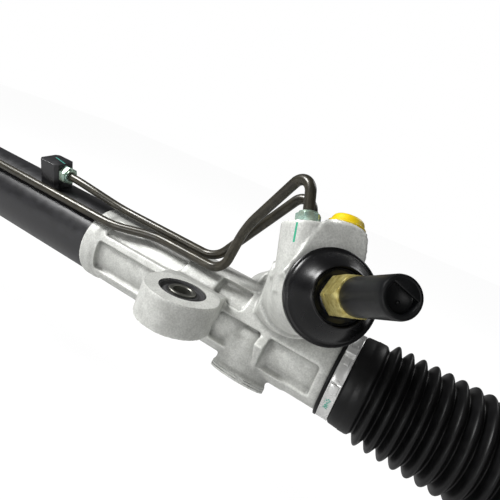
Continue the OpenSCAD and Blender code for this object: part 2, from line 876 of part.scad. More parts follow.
module jam_nut() {
    tip = near_ball_x + tie_l;
    difference() {
        translate([tip - 55, 0, 0]) rotate([0, 90, 0]) hex(0, 9, 21);
        bar_x(tip - 60, tip - 40, thread_root_r);
    }
}

module near_jam_nut() { color("#8d8f86") rack_frame() jam_nut(); }
module far_jam_nut() { color("#8d8f86") at_far_end() jam_nut(); }

rack_housing();
cylinder_tube();
end_stopper();
rack_bar();
piston();
piston_ring();
inner_rod_seal();
end_rod_seal();
end_bushing();
near_bush_rubber();
near_bush_sleeve();
far_bracket();
far_bush_rubber();
far_bush_sleeve();
near_port_block();
far_port_block();
long_pipe();
short_pipe();
flare_nuts();
dust_cover();
input_seal();
upper_bearing();
input_shaft();
hex_collar();
spline_cap();
torsion_bar();
valve_sleeve();
sleeve_rings();
pinion();
lower_bearing();
pinion_nut();
bottom_cap();
rack_guide();
guide_liner();
guide_spring();
guide_plug();
yellow_port_plug();
blue_port_plug();
near_boot();
far_boot();
near_clamp();
far_clamp();
near_clip();
far_clip();
near_socket();
far_socket();
near_ball_seat();
far_ball_seat();
near_tie_rod();
far_tie_rod();
near_lock_washer();
far_lock_washer();
near_jam_nut();
far_jam_nut();
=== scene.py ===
"""Power steering rack, dressed for the picture: casting, bushes, pipes, plugs, boots, bands and valve end.

Sizes are in millimetres and angles in degrees, unless a name or a comment says otherwise. The near ear's
centre is the origin, X runs along the rack towards the near tie rod, Y runs to the back and Z is up.
"""

import json
import logging
import math
from dataclasses import dataclass
from enum import Enum
from typing import Iterable, Sequence

import bmesh
import bpy
from mathutils import Matrix, Vector

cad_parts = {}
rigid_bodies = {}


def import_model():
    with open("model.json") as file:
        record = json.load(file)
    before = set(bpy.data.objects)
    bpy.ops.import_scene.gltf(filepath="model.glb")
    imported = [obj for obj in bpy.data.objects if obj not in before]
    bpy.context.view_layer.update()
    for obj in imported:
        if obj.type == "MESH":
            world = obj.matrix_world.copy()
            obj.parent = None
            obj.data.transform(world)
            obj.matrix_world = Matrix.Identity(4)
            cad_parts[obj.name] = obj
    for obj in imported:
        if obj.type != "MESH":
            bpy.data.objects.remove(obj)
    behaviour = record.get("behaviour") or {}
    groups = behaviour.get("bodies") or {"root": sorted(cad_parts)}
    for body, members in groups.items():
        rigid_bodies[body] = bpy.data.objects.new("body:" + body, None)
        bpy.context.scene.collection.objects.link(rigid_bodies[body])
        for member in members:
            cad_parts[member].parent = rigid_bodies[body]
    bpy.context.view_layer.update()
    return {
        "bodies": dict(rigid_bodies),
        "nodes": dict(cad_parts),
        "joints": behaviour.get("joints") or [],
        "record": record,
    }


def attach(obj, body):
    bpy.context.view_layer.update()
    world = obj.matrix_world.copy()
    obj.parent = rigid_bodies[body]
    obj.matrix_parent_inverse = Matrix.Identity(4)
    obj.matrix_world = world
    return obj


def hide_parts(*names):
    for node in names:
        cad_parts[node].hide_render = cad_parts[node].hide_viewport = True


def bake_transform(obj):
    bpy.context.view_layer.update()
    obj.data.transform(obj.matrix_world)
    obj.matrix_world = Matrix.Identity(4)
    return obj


LOG = logging.getLogger("steering_rack")
MM = 0.001
PER_METRE = 1000
Point = tuple[float, float]
Place = tuple[float, float, float]

# The rack bar's axis from the near ear's centre, and where the pinion crosses it
EAR_TO_RACK = Vector((0.0, 54.0, -10.9))
PINION_X = 33.4
PINION_OFFSET = 24.0
TOWER_LEAN = 24.0
PINION_SKEW = 26.0

# The ports: their turn about the pinion, and each one's place across and along its axis
PORT_TURN = 23.3
PLUG_TURN = 16.0
FRONT_PORT = (-7.5, 66.0)
REAR_PORT = (0.5, 46.0)
YELLOW_PORT = (2.0, 66.0)
BLUE_PORT = (3.5, 47.0)
PIPED_BOSS_H = 33.4
PLUGGED_BOSS_H = 36.8

# Sizes that more than one piece follows
TUBE_R = 25.0
BUSH_R = 13.0
VALVE_BORE_R = 16.5
FAR_EAR_X = -275.0
NEAR_AND_FAR_X = -294.0  # what the X of a place and of its mirror at the far end add up to

# Metres within which two corners are one, in a new mesh, in a boot's rolled grid and where its cuff joins it
SAME_SPOT = 1e-7
GRID_SEAM = 1e-5
CUFF_SEAM = 2e-5

# Degrees of a bent block that one flat face takes
FACE_TURN = 3

# Sockets of the node that mixes two colours
MIX_SHARE = 0
MIX_FIRST = 6
MIX_SECOND = 7
MIX_RESULT = 2

# Noise between which a finish goes from one tone to the other, from specks to clean, from glossy to matt
PATCH_BAND = (0.36, 0.64)
SPECK_BAND = (0.35, 0.65)
GLOSS_BAND = (0.3, 0.7)
# Bend of a casting's surface from groove to ridge, where 0.5 is flat, and the painted light and shade that
# its colour gets there
BEND_BAND = (0.44, 0.56)
BEND_LIGHT = (0.6, 1.25)
# How far a hollow looks for open sky, and the share of it at which the painted shade in the hollow is darkest
# and lightest
HOLLOW_REACH = 7
SKY_BAND = (0.3, 0.95)
# Noise per metre that breaks up worn paint, and how far off its face a stroke of paint still shows
WEAR_SCALE = 1400.0
PAINT_REACH = 2.5


class Body(str, Enum):
    """Bodies of the part that pieces ride on."""

    HOUSING = "housing"
    RACK = "rack"
    INPUT = "input"
    NEAR_SEAT = "near_seat"
    FAR_SEAT = "far_seat"
    NEAR_ROD = "near_rod"
    FAR_ROD = "far_rod"


class End(str, Enum):
    """The two ends of the rack, as the record's names start."""

    NEAR = "near"
    FAR = "far"


def turned(degrees: float, axis: str) -> Matrix:
    """Gives a turn about one axis."""
    return Matrix.Rotation(math.radians(degrees), 4, axis)


def rack_frame() -> Matrix:
    """Gives the frame whose X axis is the rack bar's axis."""
    return Matrix.Translation(EAR_TO_RACK)


def along_rack() -> Matrix:
    """Gives the rack frame with its Z axis along the rack, for turned pieces."""
    return rack_frame() @ turned(90, "Y")


def end_view() -> Matrix:
    """Gives the axes with X to the back, Y up and Z along the rack, for outlines seen from its end."""
    return Matrix(((0, 0, 1, 0), (1, 0, 0, 0), (0, 1, 0, 0), (0, 0, 0, 1)))


def tube_seat(x: float, turn: float) -> Matrix:
    """Gives the frame on the tube's axis at a place along it, with Z turned towards the front."""
    return rack_frame() @ Matrix.Translation((x, 0, 0)) @ turned(turn, "X")


def mesh_frame() -> Matrix:
    """Gives the frame with Y from the rack bar to the pinion and Z up the tower."""
    return rack_frame() @ turned(90 - TOWER_LEAN, "X")


def guide_frame() -> Matrix:
    """Gives the frame that looks out along the guide boss from the rack axis."""
    return mesh_frame() @ Matrix.Translation((PINION_X, 0.0, 0.0)) @ turned(90, "X")


def pinion_frame() -> Matrix:
    """Gives the frame whose Z axis is the pinion's axis."""
    return mesh_frame() @ Matrix.Translation((PINION_X, PINION_OFFSET, 0.0)) @ turned(PINION_SKEW, "Y")


def port_frame() -> Matrix:
    """Gives the pinion frame turned so that Y points out of the piped ports."""
    return pinion_frame() @ turned(PORT_TURN, "Z")


def plug_frame() -> Matrix:
    """Gives the pinion frame turned so that Y points out of the plugged ports."""
    return port_frame() @ turned(-PLUG_TURN, "Z")


def over_port(ports: Matrix, port: Point, height: float) -> Matrix:
    """Gives the frame at a height over the pinion's axis in a port, with Z out of the port."""
    across, along = port
    return ports @ Matrix.Translation((across, height, along)) @ turned(-90, "X")


def linear(hex_code: str) -> tuple[float, float, float, float]:
    """Turns an sRGB hex colour to linear values.

    Args:
        hex_code: Six hex digits with a leading hash.

    Returns:
        Red, green, blue and alpha as linear light.
    """
    def channel(digits: str) -> float:
        """Turns two hex digits to linear light."""
        value = int(digits, 16) / 255
        return value / 12.92 if value <= 0.04045 else ((value + 0.055) / 1.055) ** 2.4

    return (channel(hex_code[1:3]), channel(hex_code[3:5]), channel(hex_code[5:7]), 1.0)


def node(tree: bpy.types.NodeTree, kind: str, links: dict | None = None,
         **settings: object) -> bpy.types.Node:
    """Adds a node, sets it and links its inputs.

    Args:
        tree: Tree that gets the node.
        kind: Node type identifier.
        links: Input name or number to a value or to an output socket.
        **settings: Properties of the node itself.

    Returns:
        The new node.
    """
    made = tree.nodes.new(kind)
    for name, value in settings.items():
        setattr(made, name, value)
    for key, value in (links or {}).items():
        socket = made.inputs[key]
        if isinstance(value, bpy.types.NodeSocket):
            tree.links.new(value, socket)
        else:
            socket.default_value = value
    return made


@dataclass(frozen=True)
class Mark:
    """A stroke of paint that a fitter left on a surface."""

    start: Place
    end: Place
    facing: Place
    width: float
    colour: str
    worn: float = 0.25

    def mask(self, tree: bpy.types.NodeTree, place: bpy.types.NodeSocket) -> bpy.types.NodeSocket:
        """Builds the share of paint, which is 1 inside the stroke and breaks up where it is worn.

        Args:
            tree: Node tree of the finish.
            place: Object coordinates.

        Returns:
            The socket with the share of paint.
        """
        start = Vector(self.start)
        end = Vector(self.end)
        out = Vector(self.facing).normalized()
        along = (end - start).normalized()
        across = out.cross(along).normalized()
        ragged = node(tree, "ShaderNodeTexNoise", {
            "Vector": place, "Scale": WEAR_SCALE, "Detail": 2.0}).outputs["Fac"]
        from_middle = node(tree, "ShaderNodeVectorMath", {
            0: place, 1: (start + end) / 2 * MM}, operation="SUBTRACT").outputs[0]
        share = node(tree, "ShaderNodeMath", {
            0: ragged, 1: self.worn}, operation="GREATER_THAN").outputs[0]
        halves = ((along, (end - start).length / 2), (across, self.width / 2), (out, PAINT_REACH))
        for axis, half in halves:
            reach = node(tree, "ShaderNodeVectorMath", {
                0: from_middle, 1: axis}, operation="DOT_PRODUCT").outputs["Value"]
            size = node(tree, "ShaderNodeMath", {0: reach}, operation="ABSOLUTE").outputs[0]
            inside = node(tree, "ShaderNodeMath", {0: size, 1: half * MM}, operation="LESS_THAN").outputs[0]
            share = node(tree, "ShaderNodeMath", {0: share, 1: inside}, operation="MULTIPLY").outputs[0]
        return share


@dataclass(frozen=True)
class Finish:
    """A surface finish: what the real one is made of and how it was made, with painted light and shade on
    castings.
    """

    name: str
    colour: str
    shade: str
    metallic: float = 0.0
    roughness: float = 0.5
    rough_spread: float = 0.08
    coat: float = 0.0
    coat_roughness: float = 0.1
    mottle_mm: float = 6.0
    grain_mm: float = 0.5
    grain_depth_mm: float = 0.02
    specular: float = 0.5
    # Share of painted shade in the hollows; a finish that has it also gets painted light on its ridges
    painted_hollow_shade: float = 0.0
    speckle: float = 0.0
    marks: tuple[Mark, ...] = ()

    def tone(self, tree: bpy.types.NodeTree, mottle: bpy.types.NodeSocket,
             grain: bpy.types.NodeSocket) -> bpy.types.NodeSocket:
        """Builds the colour: two tones in soft patches, with darker specks in the grain.

        Args:
            tree: Node tree of the finish.
            mottle: Noise of the patches.
            grain: Noise of the grain.

        Returns:
            The socket with the colour.
        """
        patch = node(tree, "ShaderNodeMapRange", {
            "Value": mottle, "From Min": PATCH_BAND[0], "From Max": PATCH_BAND[1]}).outputs["Result"]
        colour = node(tree, "ShaderNodeMix", {
            MIX_SHARE: patch, MIX_FIRST: linear(self.colour), MIX_SECOND: linear(self.shade)},
            data_type="RGBA").outputs[MIX_RESULT]
        if self.speckle:
            specks = node(tree, "ShaderNodeMapRange", {
                "Value": grain, "From Min": SPECK_BAND[0], "From Max": SPECK_BAND[1],
                "To Min": 1 - self.speckle, "To Max": 1.0}).outputs["Result"]
            colour = node(tree, "ShaderNodeMix", {MIX_SHARE: 1.0, MIX_FIRST: colour, MIX_SECOND: specks},
                          data_type="RGBA", blend_type="MULTIPLY").outputs[MIX_RESULT]
        return colour

    def hollowed(self, tree: bpy.types.NodeTree, colour: bpy.types.NodeSocket) -> bpy.types.NodeSocket:
        """Paints light on the ridges of a casting and paints shade in its grooves and hollows.

        Args:
            tree: Node tree of the finish.
            colour: Colour of the open surface.

        Returns:
            The socket with the changed colour.
        """
        # Painted light on ridges and painted shade in grooves, from the surface's bend
        bend = node(tree, "ShaderNodeNewGeometry").outputs["Pointiness"]
        ridges = node(tree, "ShaderNodeMapRange", {
            "Value": bend, "From Min": BEND_BAND[0], "From Max": BEND_BAND[1],
            "To Min": BEND_LIGHT[0], "To Max": BEND_LIGHT[1]}).outputs["Result"]
        # Painted shade in hollows, darker where the point sees less open sky
        sky = node(tree, "ShaderNodeAmbientOcclusion", {
            "Distance": HOLLOW_REACH * MM}, samples=8).outputs["AO"]
        hollows = node(tree, "ShaderNodeMapRange", {
            "Value": sky, "From Min": SKY_BAND[0], "From Max": SKY_BAND[1],
            "To Min": 1 - self.painted_hollow_shade, "To Max": 1.0}).outputs["Result"]
        for light in (ridges, hollows):
            colour = node(tree, "ShaderNodeMix", {MIX_SHARE: 1.0, MIX_FIRST: colour, MIX_SECOND: light},
                          data_type="RGBA", blend_type="MULTIPLY").outputs[MIX_RESULT]
        return colour

    def build(self) -> bpy.types.Material:
        """Makes the material with mottled colour, painted light and shade where asked, uneven gloss, a grain
        and its strokes of paint.

        Returns:
            The material.
        """
        material = bpy.data.materials.new(self.name)
        material.use_nodes = True
        tree = material.node_tree
        tree.nodes.clear()
        place = node(tree, "ShaderNodeTexCoord").outputs["Object"]
        mottle = node(tree, "ShaderNodeTexNoise", {
            "Vector": place, "Scale": PER_METRE / self.mottle_mm, "Detail": 3.0}).outputs["Fac"]
        grain = node(tree, "ShaderNodeTexNoise", {
            "Vector": place, "Scale": PER_METRE / self.grain_mm, "Detail": 2.0}).outputs["Fac"]
        colour = self.tone(tree, mottle, grain)
        # Painted light on the ridges and painted shade in the hollows
        if self.painted_hollow_shade:
            colour = self.hollowed(tree, colour)
        metal = self.metallic
        for mark in self.marks:
            paint = mark.mask(tree, place)
            colour = node(tree, "ShaderNodeMix", {
                MIX_SHARE: paint, MIX_FIRST: colour, MIX_SECOND: linear(mark.colour)},
                data_type="RGBA").outputs[MIX_RESULT]
            bare = node(tree, "ShaderNodeMath", {0: 1.0, 1: paint}, operation="SUBTRACT").outputs[0]
            metal = node(tree, "ShaderNodeMath", {0: bare, 1: metal}, operation="MULTIPLY").outputs[0]
        spread = self.rough_spread / 2
        gloss = node(tree, "ShaderNodeMapRange", {
            "Value": mottle, "From Min": GLOSS_BAND[0], "From Max": GLOSS_BAND[1],
            "To Min": self.roughness - spread, "To Max": self.roughness + spread})
        bump = node(tree, "ShaderNodeBump", {
            "Height": grain, "Strength": 1.0, "Distance": self.grain_depth_mm * MM})
        shader = node(tree, "ShaderNodeBsdfPrincipled", {
            "Base Color": colour, "Roughness": gloss.outputs["Result"], "Metallic": metal,
            "Specular IOR Level": self.specular, "Coat Weight": self.coat,
            "Coat Roughness": self.coat_roughness, "Normal": bump.outputs["Normal"]})
        node(tree, "ShaderNodeOutputMaterial", {"Surface": shader.outputs["BSDF"]})
        return material


PORT_LINE = Mark((42.68, -0.07, 64.86), (45.35, -1.98, 56.22), (-0.163, -0.972, 0.166), 1.0, "#19A57F")
BLOCK_DASH = Mark((-161, 43.0, 31.4), (-148, 40.6, 30.6), (0, -0.309, 0.951), 1.1, "#4E9A8E")
BAND_SMEAR = Mark((87, 27.9, -15.5), (87, 30.1, -22.5), (0, -0.97, -0.24), 3.0, "#3FA08C", worn=0.5)

FINISHES = {finish.name: finish for finish in (
    # Cast in a mould and blasted clean: pale and matt, with painted shade in its hollows and painted light on
    # its ridges.
    # Its grain is drawn at 0.9 mm, coarser than the real one, so that it shows.
    Finish("cast_aluminium", "#E2E3DE", "#D2D3CE", metallic=0.25, rough_spread=0.12, mottle_mm=7.0,
           grain_mm=0.9, grain_depth_mm=0.17, painted_hollow_shade=0.5, speckle=0.2, marks=(PORT_LINE,)),
    # Faced and bored after casting: bright and smooth beside the casting's skin
    Finish("machined_aluminium", "#D4D5D3", "#C6C7C5", metallic=0.9, roughness=0.3, mottle_mm=9.0),
    # Stove enamel over steel: near black with a broad, clear shine
    Finish("black_paint", "#101013", "#17171C", roughness=0.36, specular=0.9, marks=(BLOCK_DASH,)),
    # Turned and left bare: dull grey metal
    Finish("turned_steel", "#84847E", "#6E6E69", metallic=0.9, roughness=0.45),
    # Ground and polished rack bar and shafts: a cool, tight shine
    Finish("ground_steel", "#B4B6B9", "#A3A5A8", metallic=1.0, roughness=0.2),
    # Forged and blackened tie rods: dark, soft metal shine
    Finish("forged_steel", "#4A4B4D", "#3A3B3C", metallic=1.0, roughness=0.45),
    # Zinc plated in clear: a grey shine with a slight green cast
    Finish("zinc_steel", "#A9AC9F", "#8E9186", metallic=1.0, roughness=0.32),
    # Zinc plated and passivated yellow: straw gold that clouds from place to place
    Finish("yellow_zinc", "#E0D48C", "#B3A257", metallic=0.65, roughness=0.32, mottle_mm=2.0),
    # Zinc plated nuts that a paint mark ran over: a pale green film on bright metal
    Finish("painted_zinc", "#B9D8CB", "#A9B8A4", metallic=0.6, roughness=0.28, mottle_mm=4.0),
    # Moulded and wiped with oil: deep black with a wide soft shine
    Finish("dust_rubber", "#0A0A0B", "#0E0E10", roughness=0.26, rough_spread=0.06, specular=0.35,
           grain_depth_mm=0.004),
    # Rolled stainless strip: white and smooth
    Finish("stainless", "#F1F1EF", "#E2E2E0", metallic=0.6, roughness=0.28, rough_spread=0.05,
           marks=(BAND_SMEAR,)),
    # Coated steel pipe under clear lacquer: dark bronze with a thin bright line along it
    Finish("pipe_paint", "#3F3B2F", "#2E2B22", metallic=0.3, roughness=0.36, rough_spread=0.06, coat=0.35,
           coat_roughness=0.16),
    # Moulded bush: flat dark grey
    Finish("bush_rubber", "#424243", "#363637", roughness=0.6, specular=0.3),
    # Oiled seal lip: black and wet
    Finish("seal_rubber", "#1C1E22", "#141518", roughness=0.24, specular=0.8),
    # Moulded bellows: black with a dull shine on each fold
    Finish("boot_rubber", "#0C0C0D", "#131314", roughness=0.42, specular=0.3),
    # Moulded shipping cap: black with a satin shine
    Finish("black_plastic", "#08090A", "#0C0D0F", roughness=0.34, specular=0.3),
    # Filled sealing rings: brown and waxy
    Finish("ring_ptfe", "#4E3F2E", "#3E3225", roughness=0.4),
    # Moulded nylon cages and bushing: cream and satin
    Finish("bearing_plastic", "#D9D2BA", "#CCC4AA", roughness=0.4),
    # Turned guide: grey and satin
    Finish("guide_aluminium", "#C2C3C0", "#B0B1AE", metallic=0.9, roughness=0.4),
    # Moulded shipping plugs: bright and slightly glossy
    Finish("yellow_plastic", "#FBDD0A", "#F2CF08", roughness=0.35, coat=0.3),
    Finish("blue_plastic", "#3B66A8", "#2F548E", roughness=0.35),
)}


class Wardrobe:
    """Builds each finish once and hands it out by name, which for CAD nodes is the record's slot."""

    def __init__(self) -> None:
        """Starts with no material built."""
        self.made: dict[str, bpy.types.Material] = {}

    def get(self, name: str) -> bpy.types.Material:
        """Gives a finish's material, built on its first use.

        Args:
            name: Name of the finish.

        Returns:
            The material.
        """
        if name not in self.made:
            self.made[name] = FINISHES[name].build()
        return self.made[name]

    def dress_nodes(self, frame: dict) -> None:
        """Puts the finish of its slot on every CAD node.
        """
        slots = {entry["node"]: entry["material_slot"] for entry in frame["record"]["subparts"]}
        for name, obj in frame["nodes"].items():
            obj.data.materials.clear()
            obj.data.materials.append(self.get(slots[name]))


@dataclass(frozen=True)
class Lamp:
    """A square soft lamp: place and side in metres, power in watts."""

    name: str
    place: Place
    side: float
    power: float

    def build(self, target: Place) -> None:
        """Hangs the lamp in its place and aims it.

        Args:
            target: Point in metres that the lamp looks at.
        """
        data = bpy.data.lights.new(self.name, "AREA")
        data.shape = "SQUARE"
        data.size = self.side
        data.energy = self.power
        obj = bpy.data.objects.new(self.name, data)
        bpy.context.scene.collection.objects.link(obj)
        aim = Vector(target) - Vector(self.place)
        turn = aim.to_track_quat("-Z", "Y").to_matrix().to_4x4()
        obj.matrix_world = Matrix.Translation(self.place) @ turn


@dataclass
class Studio:
    """Camera, lamps, paper floor and white surroundings, with places in metres."""

    eye: Place = (0.0941, -0.1757, 0.0837)
    right: Place = (0.839, 0.4055, 0.3629)
    up: Place = (-0.4159, 0.0477, 0.9082)
    lens: float = 29.04
    sensor: float = 36.0
    nearest: float = 0.005
    floor_z: float = -0.15
    floor_side: float = 8.0
    paper_tone: float = 0.85
    glow_share: float = 0.86
    glow_mirrored: float = 0.5
    glow_seen: float = 1.12
    sky: float = 0.1
    target: Place = (0.0, 0.03, 0.0)
    lamps: tuple[Lamp, ...] = (
        Lamp("key", (-0.9, -0.4, 0.85), 0.4, 19.0),
        Lamp("fill", (0.6, -0.9, 0.4), 0.6, 1.6),
        Lamp("low", (-0.35, -0.9, -0.02), 0.4, 2.6),
        Lamp("rim", (0.35, 0.8, 0.75), 0.4, 1.6),
    )

    def camera(self) -> None:
        """Makes the camera at the photograph's angle."""
        data = bpy.data.cameras.new("camera")
        data.lens = self.lens
        data.sensor_width = self.sensor
        data.clip_start = self.nearest
        obj = bpy.data.objects.new("camera", data)
        bpy.context.scene.collection.objects.link(obj)
        right = Vector(self.right).normalized()
        back = right.cross(Vector(self.up).normalized())
        turn = Matrix((right, back.cross(right), back)).transposed().to_4x4()
        obj.matrix_world = Matrix.Translation(self.eye) @ turn
        bpy.context.scene.camera = obj

    def floor(self) -> None:
        """Makes the pale floor, which stays white to the camera and keeps a soft shadow."""
        bpy.ops.mesh.primitive_plane_add(size=self.floor_side, location=(0, 0, self.floor_z))
        obj = bpy.context.object
        obj.name = "floor"
        material = bpy.data.materials.new("white_studio_paper")
        material.use_nodes = True
        tree = material.node_tree
        tree.nodes.clear()
        ray = node(tree, "ShaderNodeLightPath").outputs
        seen = node(tree, "ShaderNodeMath", {
            0: ray["Is Camera Ray"], 1: ray["Is Glossy Ray"]}, operation="MAXIMUM").outputs[0]
        share = node(tree, "ShaderNodeMath", {0: seen, 1: self.glow_share}, operation="MULTIPLY").outputs[0]
        bright = node(tree, "ShaderNodeMapRange", {
            "Value": ray["Is Camera Ray"],
            "To Min": self.glow_mirrored, "To Max": self.glow_seen}).outputs["Result"]
        paper = node(tree, "ShaderNodeBsdfDiffuse", {"Color": (self.paper_tone,) * 3 + (1,)})
        glow = node(tree, "ShaderNodeEmission", {"Color": (1, 1, 1, 1), "Strength": bright})
        both = node(tree, "ShaderNodeMixShader", {0: share, 1: paper.outputs[0], 2: glow.outputs[0]})
        node(tree, "ShaderNodeOutputMaterial", {"Surface": both.outputs[0]})
        obj.data.materials.append(material)

    def world(self) -> None:
        """Gives the pieces a dim white all round, and the camera a full white behind them."""
        world = bpy.data.worlds.new("studio_white")
        bpy.context.scene.world = world
        world.use_nodes = True
        tree = world.node_tree
        tree.nodes.clear()
        seen = node(tree, "ShaderNodeLightPath").outputs["Is Camera Ray"]
        strength = node(tree, "ShaderNodeMapRange", {
            "Value": seen, "To Min": self.sky, "To Max": 1.0}).outputs["Result"]
        back = node(tree, "ShaderNodeBackground", {"Color": (1, 1, 1, 1), "Strength": strength})
        node(tree, "ShaderNodeOutputWorld", {"Surface": back.outputs[0]})

    def build(self) -> None:
        """Sets the camera, the floor, the surroundings and the lamps."""
        bpy.context.scene.view_settings.view_transform = "Standard"
        self.camera()
        self.floor()
        self.world()
        for lamp in self.lamps:
            lamp.build(self.target)


def mesh_object(name: str, points: Sequence, faces: Iterable, frame: Matrix) -> bpy.types.Object:
    """Makes an object at the origin from points in a frame.

    Args:
        name: Name of the object.
        points: Corners in millimetres.
        faces: Corner numbers of each face.
        frame: Frame of the points, in millimetres.

    Returns:
        The object, with its place in its mesh.
    """
    mesh = bpy.data.meshes.new(name)
    mesh.from_pydata([tuple((frame @ Vector(p)) * MM) for p in points], [], [tuple(f) for f in faces])
    work = bmesh.new()
    work.from_mesh(mesh)
    bmesh.ops.remove_doubles(work, verts=work.verts, dist=SAME_SPOT)
    bmesh.ops.recalc_face_normals(work, faces=work.faces)
    work.to_mesh(mesh)
    work.free()
    obj = bpy.data.objects.new(name, mesh)
    bpy.context.scene.collection.objects.link(obj)
    return obj


def lathe(name: str, outline: Sequence[Point], frame: Matrix, steps: int = 96) -> bpy.types.Object:
    """Turns an outline of (radius, height) round the frame's Z axis.

    Args:
        name: Name of the object.
        outline: Closed loop of points, or an open line that starts and ends on the axis.
        frame: Frame whose Z axis is the turning axis.
        steps: Faces round the axis.

    Returns:
        The turned object.
    """
    closed = outline[0][0] > 0 or outline[-1][0] > 0
    count = len(outline)
    rows = count if closed else count - 1
    points = []
    faces = []
    for k in range(steps):
        angle = 2 * math.pi * k / steps
        points += [(r * math.cos(angle), r * math.sin(angle), z) for r, z in outline]
        here = k * count
        there = (k + 1) % steps * count
        for i in range(rows):
            after = (i + 1) % count
            faces.append((here + i, here + after, there + after, there + i))
    return mesh_object(name, points, faces, frame)


def drum(name: str, frame: Matrix, low: float, high: float, r_low: float, r_high: float | None = None,
         steps: int = 72) -> bpy.types.Object:
    """Makes a cylinder or cone between two heights on the frame's Z axis."""
    top = r_low if r_high is None else r_high
    return lathe(name, [(0, low), (r_low, low), (top, high), (0, high)], frame, steps)


def prism(name: str, outline: Sequence[Point], low: float, high: float, frame: Matrix) -> bpy.types.Object:
    """Raises a flat outline between two heights of a frame.

    Args:
        name: Name of the object.
        outline: Corners of the outline.
        low: Height of the lower face.
        high: Height of the upper face.
        frame: Frame of the outline.

    Returns:
        The raised object.
    """
    count = len(outline)
    points = [(x, y, z) for z in (low, high) for x, y in outline]
    faces = [tuple(range(count))[::-1], tuple(range(count, 2 * count))]
    faces += [(i, (i + 1) % count, count + (i + 1) % count, count + i) for i in range(count)]
    return mesh_object(name, points, faces, frame)


def hexagon(across_flats: float) -> list[Point]:
    """Gives the corners of a hexagon.

    Args:
        across_flats: Its size from flat to flat.

    Returns:
        The six corners.
    """
    radius = across_flats / math.sqrt(3)
    angles = [math.radians(60 * k) for k in range(6)]
    return [(radius * math.cos(a), radius * math.sin(a)) for a in angles]


def sector(name: str, x0: float, x1: float, low: float, high: float, inner: float,
           outer: float) -> bpy.types.Object:
    """Makes a block bent round the rack axis, on the side that faces the camera.

    Args:
        name: Name of the object.
        x0: Left end along the rack.
        x1: Right end along the rack.
        low: Lower angle above the level.
        high: Upper angle above the level.
        inner: Radius of the block's inner face.
        outer: Radius of the block's outer face.

    Returns:
        The block.
    """
    steps = max(4, int((high - low) / FACE_TURN))
    angles = [math.radians(low + (high - low) * k / steps) for k in range(steps + 1)]
    ring = [(-inner * math.cos(a), inner * math.sin(a)) for a in angles]
    ring += [(-outer * math.cos(a), outer * math.sin(a)) for a in reversed(angles)]
    return prism(name, ring, x0, x1, rack_frame() @ end_view())


def bake(obj: bpy.types.Object, kind: str, **settings: object) -> bpy.types.Object:
    """Runs one modifier and keeps its result as the plain mesh.

    Args:
        obj: Object to change.
        kind: Modifier type.
        **settings: Properties of the modifier.

    Returns:
        The same object.
    """
    modifier = obj.modifiers.new(kind.lower(), kind)
    for name, value in settings.items():
        setattr(modifier, name, value)
    bpy.context.view_layer.update()
    result = bpy.data.meshes.new_from_object(obj.evaluated_get(bpy.context.evaluated_depsgraph_get()))
    obj.modifiers.remove(modifier)
    old = obj.data
    obj.data = result
    bpy.data.meshes.remove(old)
    return obj


def round_edges(obj: bpy.types.Object, width: float, segments: int, above: float = 30.0) -> None:
    """Rounds an object's edges that turn by more than an angle."""
    bake(obj, "BEVEL", width=width * MM, segments=segments, limit_method="ANGLE",
         angle_limit=math.radians(above))


def join(objects: Sequence[bpy.types.Object], name: str) -> bpy.types.Object:
    """Joins objects into the first one and names it.

    Args:
        objects: Objects to join.
        name: Name of the result.

    Returns:
        The first object, which holds them all.
    """
    first = objects[0]
    with bpy.context.temp_override(active_object=first, object=first, selected_objects=list(objects),
                                   selected_editable_objects=list(objects)):
        bpy.ops.object.join()
    first.name = name
    return first


def cut(obj: bpy.types.Object, cutter: bpy.types.Object, operation: str = "DIFFERENCE") -> bpy.types.Object:
    """Cuts an object with a closed cutter, which is then removed.

    Args:
        obj: Closed object to cut.
        cutter: Closed object that cuts.
        operation: The boolean modifier's operation.

    Returns:
        The cut object.
    """
    bake(obj, "BOOLEAN", object=cutter, operation=operation, solver="MANIFOLD")
    bpy.data.objects.remove(cutter)
    return obj


def sharpen(obj: bpy.types.Object, degrees: float) -> bpy.types.Object:
    """Shades an object smooth, with its edges above an angle kept sharp.

    Args:
        obj: Object to shade.
        degrees: Angle between two faces from which their edge is sharp.

    Returns:
        The same object.
    """
    obj.data.shade_smooth()
    obj.data.set_sharp_from_angle(angle=math.radians(degrees))
    return obj


def to_far_end(obj: bpy.types.Object) -> None:
    """Mirrors a finished piece of the near end to the far end, with its faces still outwards.

    Args:
        obj: Piece to mirror.
    """
    mirror = Matrix.Translation((NEAR_AND_FAR_X * MM, 0, 0)) @ Matrix.Diagonal((-1.0, 1.0, 1.0, 1.0))
    obj.data.transform(mirror)
    obj.data.flip_normals()


def dress(obj: bpy.types.Object, material: bpy.types.Material, slot: str, body: Body,
          *nodes: str) -> bpy.types.Object:
    """Gives a finished piece its material and body, and hides the CAD nodes that it stands for.

    Args:
        obj: The finished piece.
        material: Its material, unless its mesh has it already.
        slot: The record's slot; not used.
        body: Body that it rides on.
        *nodes: CAD nodes that it replaces.

    Returns:
        The same piece.
    """
    if material not in list(obj.data.materials):
        obj.data.materials.clear()
        obj.data.materials.append(material)
    if nodes:
        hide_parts(*nodes)
    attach(obj, body.value)
    return obj


@dataclass(frozen=True)
class Pocket:
    """A hollow between the casting's rails: span along the rack, angles and radius of its floor."""

    start: float
    end: float
    low: float
    high: float
    floor_r: float


@dataclass(frozen=True)
class Rib:
    """A round rib between two points of the rack frame."""

    start: Place
    end: Place
    radius: float

    def build(self) -> bpy.types.Object:
        """Builds the rib.

        Returns:
            The rib.
        """
        run = Vector(self.end) - Vector(self.start)
        turn = run.to_track_quat("Z", "Y").to_matrix().to_4x4()
        frame = rack_frame() @ Matrix.Translation(self.start) @ turn
        return drum("rib", frame, 0, run.length, self.radius, steps=24)


